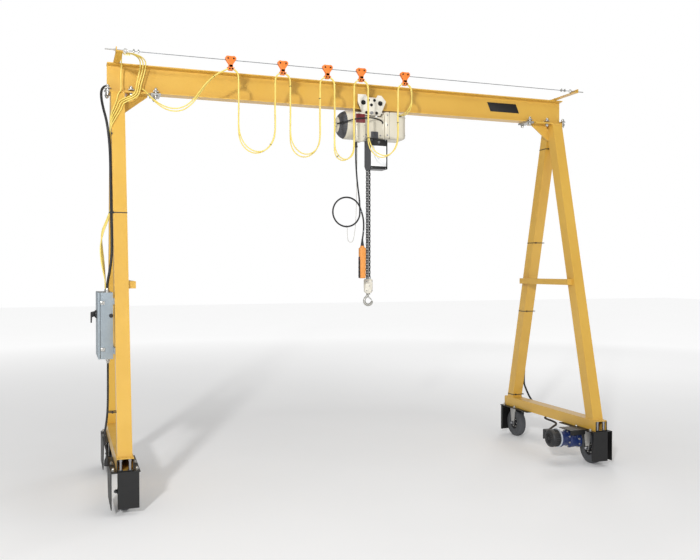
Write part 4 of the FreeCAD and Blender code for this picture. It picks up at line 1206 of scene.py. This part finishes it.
def gear_and_cover():
    """The gear case and the tall rounded end cover with its parting line and screws."""
    case = block((0.022, -0.100, 2.655), (0.205, 0.100, 2.834), 0.018, 4)
    lip = block((0.192, -0.104, 2.652), (0.204, 0.104, 2.850), 0.006, 3)
    throat = block((CHAIN_X - 0.040, -0.036, 2.650), (CHAIN_X + 0.040, 0.036, 2.668), 0.006, 2)
    finished(joined([case, lip, throat]), "gear_housing", CREAM, "hoist",
             ["hoist_gear_case"])
    # The chain's mouth is a near-black block of painted shade
    mouth = block((CHAIN_X - 0.029, -0.016, 2.6495), (CHAIN_X + 0.029, 0.016, 2.656), 0.004, 2)
    finished(mouth, "chain_mouth", PAINTED_SHADE, "hoist")
    guide = block((0.088, -0.110, 2.653), (0.148, -0.098, 2.710), 0.003, 2)
    keeper = block((0.096, -0.114, 2.664), (0.128, -0.106, 2.700), 0.002, 2)
    finished(joined([guide, keeper]), "chain_guide", CHARCOAL, "hoist")
    cover = block((0.207, -0.098, 2.660), (0.398, 0.098, 2.882), 0.026, 5)
    finished(cover, "end_cover", CREAM, "hoist", ["hoist_end_cover"])
    seam = block((0.2505, -0.0985, 2.662), (0.2525, 0.0985, 2.8825), 0.0258, 5)
    finished(seam, "cover_seam", CHARCOAL, "hoist")
    screws = []
    for way in (-1, 1):
        for z in (2.690, 2.772, 2.850):
            screws.append(stood((0.233, way * 0.0975, z), (0, way, 0)))
        for x in (0.048, 0.170):
            for z in (2.682, 2.806):
                screws.append(stood((x, way * 0.0995, z), (0, way, 0)))
    for y in (-0.070, 0.070):
        for z in (2.700, 2.842):
            screws.append(stood((0.3975, y, z), (1, 0, 0)))
    finished(spread(screw_head(0.0065), screws), "cover_screws", STEEL, "hoist")
    glands = []
    for x in (0.330, 0.342):
        glands.append(turned([(0, 0.0046), (0, 0.0085), (0.010, 0.0085), (0.012, 0.0072),
                              (0.022, 0.0066), (0.024, 0.0046), (0, 0.0046)], (x, -0.121, 2.850), "Y", 24))
    finished(joined(glands), "tail_glands", RUBBER, "hoist")


def control_box():
    """The cream box on the motor's near side: tapered foot, dark red square, screws, gland."""
    outline = [(-0.066, -0.172, 2.846), (0.014, -0.172, 2.846), (0.014, -0.172, 2.650),
               (0.002, -0.172, 2.622), (-0.018, -0.172, 2.612), (-0.044, -0.172, 2.612),
               (-0.066, -0.172, 2.634)]
    body = cut_plate(outline, (0, 0.068, 0))
    rounded(body, 0.007, 3)
    lid_line = block((-0.0665, -0.1552, 2.640), (0.0145, -0.1535, 2.8465), 0.0007, 1)
    finished(body, "control_housing", CREAM, "hoist", ["hoist_control_box"])
    finished(lid_line, "control_seam", CHARCOAL, "hoist")
    cap = block((-0.0655, -0.1745, 2.760), (0.0110, -0.150, 2.832), 0.004, 2)
    finished(cap, "control_cap", RED, "hoist")
    screws = [stood((x, -0.1715, z), (0, -1, 0)) for x, z in ((-0.056, 2.744), (0.006, 2.744),
                                                               (-0.052, 2.650), (0.000, 2.656))]
    finished(spread(screw_head(0.0045), screws), "control_screws", STEEL, "hoist")
    gland = turned([(0, 0.0066), (0, 0.0145), (0.010, 0.0145), (0.013, 0.0115), (0.030, 0.0088),
                    (0.042, 0.0075), (0.042, 0.0066), (0, 0.0066)], (-0.052, -0.132, 2.572), "Z", 28)
    finished(gland, "pendant_gland", RUBBER, "hoist")


def trolley():
    """Side plates on the lower flange, with their wheels, bolts, load bar and lug."""
    outline = [(-0.012, 3.010), (0.058, 3.012), (0.070, 2.990), (0.148, 2.990), (0.160, 3.012),
               (0.192, 3.010), (0.232, 2.966), (0.226, 2.948), (0.182, 2.846), (0.030, 2.846),
               (-0.012, 2.952)]
    bar_z, roller_z = 2.866, 2.946
    rollers = {"left": 0.034, "right": 0.180}
    plates = []
    for depth in DEPTHS.values():
        y = depth * 0.062
        plates.append(cut_plate([(x, y, z) for x, z in outline], (0, depth * 0.008, 0), 0.0012))
        rim = depth * 0.070
        plates.append(block((0.020, rim, 2.868), (0.192, rim + depth * 0.004, 2.892), 0.0015, 2))
    lug = block((CHAIN_X - 0.026, -0.022, 2.820), (CHAIN_X + 0.026, 0.022, 2.884), 0.005, 2)
    bar = turned([(-0.080, 0), (-0.080, 0.012), (-0.078, 0.013), (0.078, 0.013), (0.080, 0.012),
                  (0.080, 0)], (CHAIN_X, 0, bar_z), "Y", 28)
    finished(joined(plates), "trolley_plates", WHITE, "hoist", ["hoist_trolley"])
    finished(joined([lug, bar]), "trolley_bar", STEEL, "hoist")
    heads, axles = [], []
    for x in rollers.values():
        for way in (-1, 1):
            heads.append(stood((x, way * 0.070, roller_z), (0, way, 0)))
            axles.append(block((x - 0.006, way * 0.040, roller_z - 0.006),
                               (x + 0.006, way * 0.068, roller_z + 0.006), 0.002))
    finished(spread(bolt_head(0.026), heads), "trolley_axle_nuts", HUB, "hoist")
    small = []
    for x, face, z in ((0.078, 0.070, 2.968), (0.130, 0.070, 2.968), (0.104, 0.070, 2.930),
                       (0.060, 0.074, bar_z), (0.148, 0.074, bar_z)):
        for way in (-1, 1):
            small.append(stood((x, way * face, z), (0, way, 0)))
    finished(spread(bolt_head(0.016), small), "trolley_bolts", HUB, "hoist")
    finished(joined(axles), "trolley_axles", STEEL, "hoist")
    tread = [(-0.013, 0.009), (-0.013, 0.036), (-0.010, 0.038), (0.006, 0.038), (0.010, 0.036),
             (0.013, 0.034), (0.013, 0.009), (-0.013, 0.009)]
    for name, x in rollers.items():
        pair = []
        for way in (-1, 1):
            roller = turned([(way * along, radius) for along, radius in tread],
                            (x, way * 0.041, roller_z), "Y", 36)
            pair.append(roller)
        node = f"hoist_trolley_wheels_{name}"
        finished(joined(pair), f"flange_rollers_{name}", STEEL, f"trolley_wheels_{name}",
                 [node])


def front_cable():
    """The short black lead across the hoist's front, from the motor end to the gear case."""
    points = [(-0.181, -0.052, 2.764), (-0.172, -0.092, 2.764), (-0.150, -0.116, 2.768),
              (-0.116, -0.126, 2.776), (-0.086, -0.152, 2.786), (-0.062, -0.178, 2.790),
              (-0.010, -0.181, 2.796), (0.034, -0.176, 2.804), (0.080, -0.142, 2.812),
              (0.130, -0.120, 2.812), (0.168, -0.116, 2.804), (0.188, -0.112, 2.790),
              (0.190, -0.099, 2.780)]
    cable("hoist_lead", points, 0.0055, BLACK_JACKET, "hoist")


def chain_container_box():
    """The slack-chain box: charcoal shell with a black header, frame and a blank white panel."""
    dress(CHARCOAL, "chain_container")
    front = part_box("chain_container")[0].y
    header = block((0.060, front - 0.0035, 2.590), (0.204, front + 0.006, 2.640), 0.002, 2)
    sill = block((0.060, front - 0.0035, 2.403), (0.204, front + 0.006, 2.424), 0.002, 2)
    stile = block((0.196, front - 0.0035, 2.403), (0.2045, front + 0.010, 2.632), 0.0015, 2)
    flap = block((0.058, -0.150, 2.636), (0.118, -0.104, 2.652), 0.006, 2)
    finished(joined([header, sill, stile, flap]), "container_frame", BLACK, "hoist")
    panel = block((0.064, front - 0.0018, 2.426), (0.194, front + 0.002, 2.588), 0.0008, 1)
    finished(panel, "container_panel", SHEET_WHITE, "hoist")
    ring = turned([(-0.001, 0.0055), (-0.003, 0.0055), (-0.003, 0.0085), (-0.001, 0.0085),
                   (-0.001, 0.0055)], (0.130, front - 0.0025, 2.616), "Y", 24)
    rivets = [stood((x, front - 0.0035, z), (0, -1, 0)) for x in (0.070, 0.188)
              for z in (2.412, 2.632)]
    finished(joined([ring, spread(screw_head(0.0035), rivets)]), "container_rivets", STEEL, "hoist")


def load_chain():
    """Two falls of short-link chain, links turned crosswise in turn."""
    pitch, wire_r = 0.021, 0.0037
    top, bottom = 2.655, 1.530
    count = int((top - bottom) / pitch)
    bpy.ops.mesh.primitive_torus_add(major_segments=10, minor_segments=5, major_radius=0.0082,
                                     minor_radius=wire_r, rotation=(math.pi / 2, 0, 0))
    link = settle(bpy.context.object)
    for corner in link.data.vertices:
        corner.co.z += math.copysign(0.0062, corner.co.z) if abs(corner.co.z) > 1e-4 else 0.0
    cross = twin(link, Matrix.Translation((0, 0, pitch)) @ Matrix.Rotation(math.pi / 2, 4, "Z"))
    pair = rowed(joined([link, cross]), count // 2, (0, 0, 2 * pitch))
    falls = spread(pair, [Matrix.Translation((CHAIN_X + dx, 0, bottom + 0.008)) @
                          Matrix.Rotation(math.radians(turn), 4, "Z")
                          for dx, turn in ((-0.0105, 40), (0.0105, -52))])
    falls.name = falls.data.name = "chain_links"
    bpy.ops.object.shade_smooth_by_angle(angle=math.radians(80))
    falls.data.materials.clear()
    falls.data.materials.append(CHAIN_STEEL)
    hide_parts("load_chain")
    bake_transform(falls)


def hook_and_block():
    """The pale lower block with its side plates, and the forged hook with its latch."""
    body = block((CHAIN_X - 0.034, -0.026, 1.412), (CHAIN_X + 0.034, 0.026, 1.526), 0.016, 5)
    waist = turned([(0, 0), (0, 0.024), (0.004, 0.026), (0.016, 0.026), (0.020, 0.022), (0.020, 0)],
                   (CHAIN_X, 0, 1.408), "Z", 32)
    cheeks = []
    for way in (-1, 1):
        cheeks.append(turned([(0, 0), (0, 0.026), (way * 0.004, 0.026), (way * 0.0055, 0.023),
                              (way * 0.0055, 0)], (CHAIN_X, way * 0.0215, 1.468), "Y", 36))
    finished(joined([body, waist] + cheeks), "hook_block_body", WHITE, "hook_block",
             ["hook_block"])
    bolts = [stood((CHAIN_X + dx, way * 0.0240, z), (0, way, 0)) for way in (-1, 1)
             for dx, z in ((-0.022, 1.506), (0.022, 1.506), (-0.022, 1.430), (0.022, 1.430))]
    bolts += [stood((CHAIN_X, way * 0.0248, 1.468), (0, way, 0)) for way in (-1, 1)]
    finished(spread(screw_head(0.0052), bolts), "hook_block_bolts", STEEL, "hook_block")
    centre_z, bowl_r = 1.346, 0.035
    path = [(CHAIN_X, 0, 1.412), (CHAIN_X, 0, 1.396), (CHAIN_X - 0.010, 0, 1.386)]
    widths = [0.85, 0.85, 0.95]
    for angle in range(112, 391, 31):
        path.append((CHAIN_X + bowl_r * math.cos(math.radians(angle)), 0,
                     centre_z + bowl_r * math.sin(math.radians(angle))))
        widths.append(1.05 if 180 < angle < 330 else 0.9 if angle < 200 else 0.62)
    forged = thickened("forged_hook", steered_line("hook", path, 12, widths), 0.0108, 5)
    collar = turned([(0, 0.0), (0, 0.015), (0.003, 0.017), (0.009, 0.017), (0.012, 0.014),
                     (0.012, 0.0)], (CHAIN_X, 0, 1.396), "Z", 28)
    finished(joined([forged, collar]), "forged_hook", HOOK_STEEL, "hook",
             ["load_hook"], smooth=70)
    latch = cut_plate([(CHAIN_X - 0.006, -0.007, 1.378), (CHAIN_X + 0.004, -0.007, 1.384),
                       (CHAIN_X + 0.030, -0.007, 1.357), (CHAIN_X + 0.028, -0.007, 1.351)],
                      (0, 0.014, 0), 0.0008)
    finished(latch, "hook_latch", ZINC, "hook")


# ================================================================ pendant
def pendant_station():
    """A long orange pendant with a black boot, and one column of buttons and a stop on its dark side."""
    low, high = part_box("pendant")
    middle_y = (low.y + high.y) / 2
    shell = block((-0.026, low.y + 0.001, 1.531), (0.026, high.y - 0.001, 1.776), 0.010, 4)
    for corner in shell.data.vertices:
        below = (1.776 - corner.co.z) / 0.245
        corner.co.x *= 1.02 - 0.20 * math.sin(math.pi * min(1, max(0, below * 0.9)))
    neck = turned([(0, 0), (0, 0.020), (0.006, 0.019), (0.014, 0.0155), (0.018, 0.0150), (0.018, 0)],
                  (0, -0.138, 1.772), "Z", 32)
    finished(joined([shell, neck]), "pendant_shell", PENDANT, "hoist", ["pendant"])
    face = block((-0.0275, low.y + 0.006, 1.534), (-0.020, high.y - 0.006, 1.702), 0.003, 2)
    finished(face, "pendant_face", RUBBER, "hoist")
    buttons = []
    for z in (1.551, 1.585, 1.619, 1.653):
        buttons.append(turned([(0, 0), (0, 0.0115), (-0.001, 0.0125), (-0.0020, 0.0115),
                               (-0.0020, 0.0085), (-0.0036, 0.0075), (-0.0040, 0)],
                              (-0.0272, middle_y, z), "X", 28))
    finished(joined(buttons), "pendant_buttons", TIE, "hoist")
    stop = turned([(0, 0), (0, 0.0100), (-0.001, 0.0105), (-0.003, 0.0100), (-0.0042, 0.0060),
                   (-0.0044, 0)], (-0.0270, middle_y, 1.684), "X", 28)
    finished(stop, "pendant_stop", RED, "hoist")
    boot = turned([(0, 0.0066), (0, 0.0135), (0.008, 0.0140), (0.012, 0.0122), (0.016, 0.0128),
                   (0.020, 0.0110), (0.024, 0.0116), (0.028, 0.0100), (0.046, 0.0078),
                   (0.056, 0.0072), (0.056, 0.0066), (0, 0.0066)], (0, -0.138, 1.788), "Z", 28)
    finished(boot, "pendant_boot", RUBBER, "hoist")


# ================================================================ control enclosure
def enclosure():
    """Steel box with a raised door, latches, a rotary handle, glands and a blank gland."""
    dress(BOX_GREY, "control_enclosure", "enclosure_rails")
    low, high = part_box("control_enclosure")
    front = -2.0205
    door = block((front, -0.403, 0.989), (-2.006, -0.019, 1.445), 0.004, 2)
    fold = block((front - 0.0005, -0.392, 1.000), (front + 0.002, -0.030, 1.434), 0.001, 1)
    knuckles = []
    for z in (1.090, 1.344):
        knuckles.append(turned([(-0.013, 0.0031), (-0.013, 0.006), (0.013, 0.006), (0.013, 0.0031),
                                (-0.013, 0.0031)], (-2.013, -0.011, z), "Z", 20))
        knuckles.append(block((front, -0.020, z - 0.013), (-2.013, -0.011, z + 0.013), 0.0008, 1))
    finished(joined([door, fold] + knuckles), "door_panel", BOX_GREY, "door",
             ["enclosure_door"])
    base = turned([(0, 0), (0, 0.028), (-0.003, 0.0285), (-0.012, 0.026), (-0.0155, 0.020),
                   (-0.0155, 0)], (front - 0.0005, -0.215, 1.290), "X", 36)
    grip_outline = [(-2.036, -0.224, 1.310), (-2.062, -0.222, 1.304), (-2.063, -0.222, 1.290),
                    (-2.063, -0.221, 1.228), (-2.054, -0.221, 1.228), (-2.052, -0.223, 1.268),
                    (-2.036, -0.224, 1.272)]
    grip = cut_plate(grip_outline, (0, 0.018, 0))
    rounded(grip, 0.003, 3)
    finished(joined([base, grip]), "rotary_handle", BLACK, "handle",
             ["disconnect_handle"])
    latches = []
    for z in (1.374, 1.056):
        latches.append(block((-2.0035, low.y - 0.006, z - 0.012), (-1.976, low.y, z + 0.012), 0.002, 2))
        latches.append(block((-1.999, low.y - 0.010, z - 0.005), (-1.984, low.y - 0.005, z + 0.005),
                             0.001, 1))
    finished(joined(latches), "box_latches", ZINC, "root")
    plug = turned([(0, 0), (0, 0.014), (-0.004, 0.0135), (-0.006, 0.011), (-0.006, 0)],
                  (-1.935, low.y, 1.286), "Y", 28)
    finished(plug, "blank_gland", RUBBER, "root")
    glands = []
    for n in range(4):
        glands.append(turned([(0, 0.0046), (0, 0.0068), (0.012, 0.0068), (0.014, 0.0058),
                              (0.022, 0.0052), (0.022, 0.0046), (0, 0.0046)],
                             (-1.966, -0.312 + 0.014 * n, high.z), "Z", 20))
    glands.append(turned([(0, 0.0092), (0, 0.017), (0.014, 0.017), (0.017, 0.0135), (0.030, 0.0112),
                          (0.030, 0.0092), (0, 0.0092)], (-1.958, -0.352, high.z), "Z", 28))
    glands.append(turned([(0, 0.0072), (0, 0.0145), (-0.012, 0.0145), (-0.015, 0.0115),
                          (-0.030, 0.0088), (-0.030, 0.0072), (0, 0.0072)],
                         (-1.956, -0.376, low.z), "Z", 28))
    finished(joined(glands), "box_glands", ZINC, "root")


# ================================================================ the crane
camera_and_light()
floor()
festoon_cables()
control_cables()
drive_cable()
hanging_cords()
steel_frame()
wheels()
fork_fittings()
guard_lips()
travel_drive()
festoon_trolleys()
wire_ends()
hoist()
chain_container_box()
load_chain()
hook_and_block()
pendant_station()
enclosure()
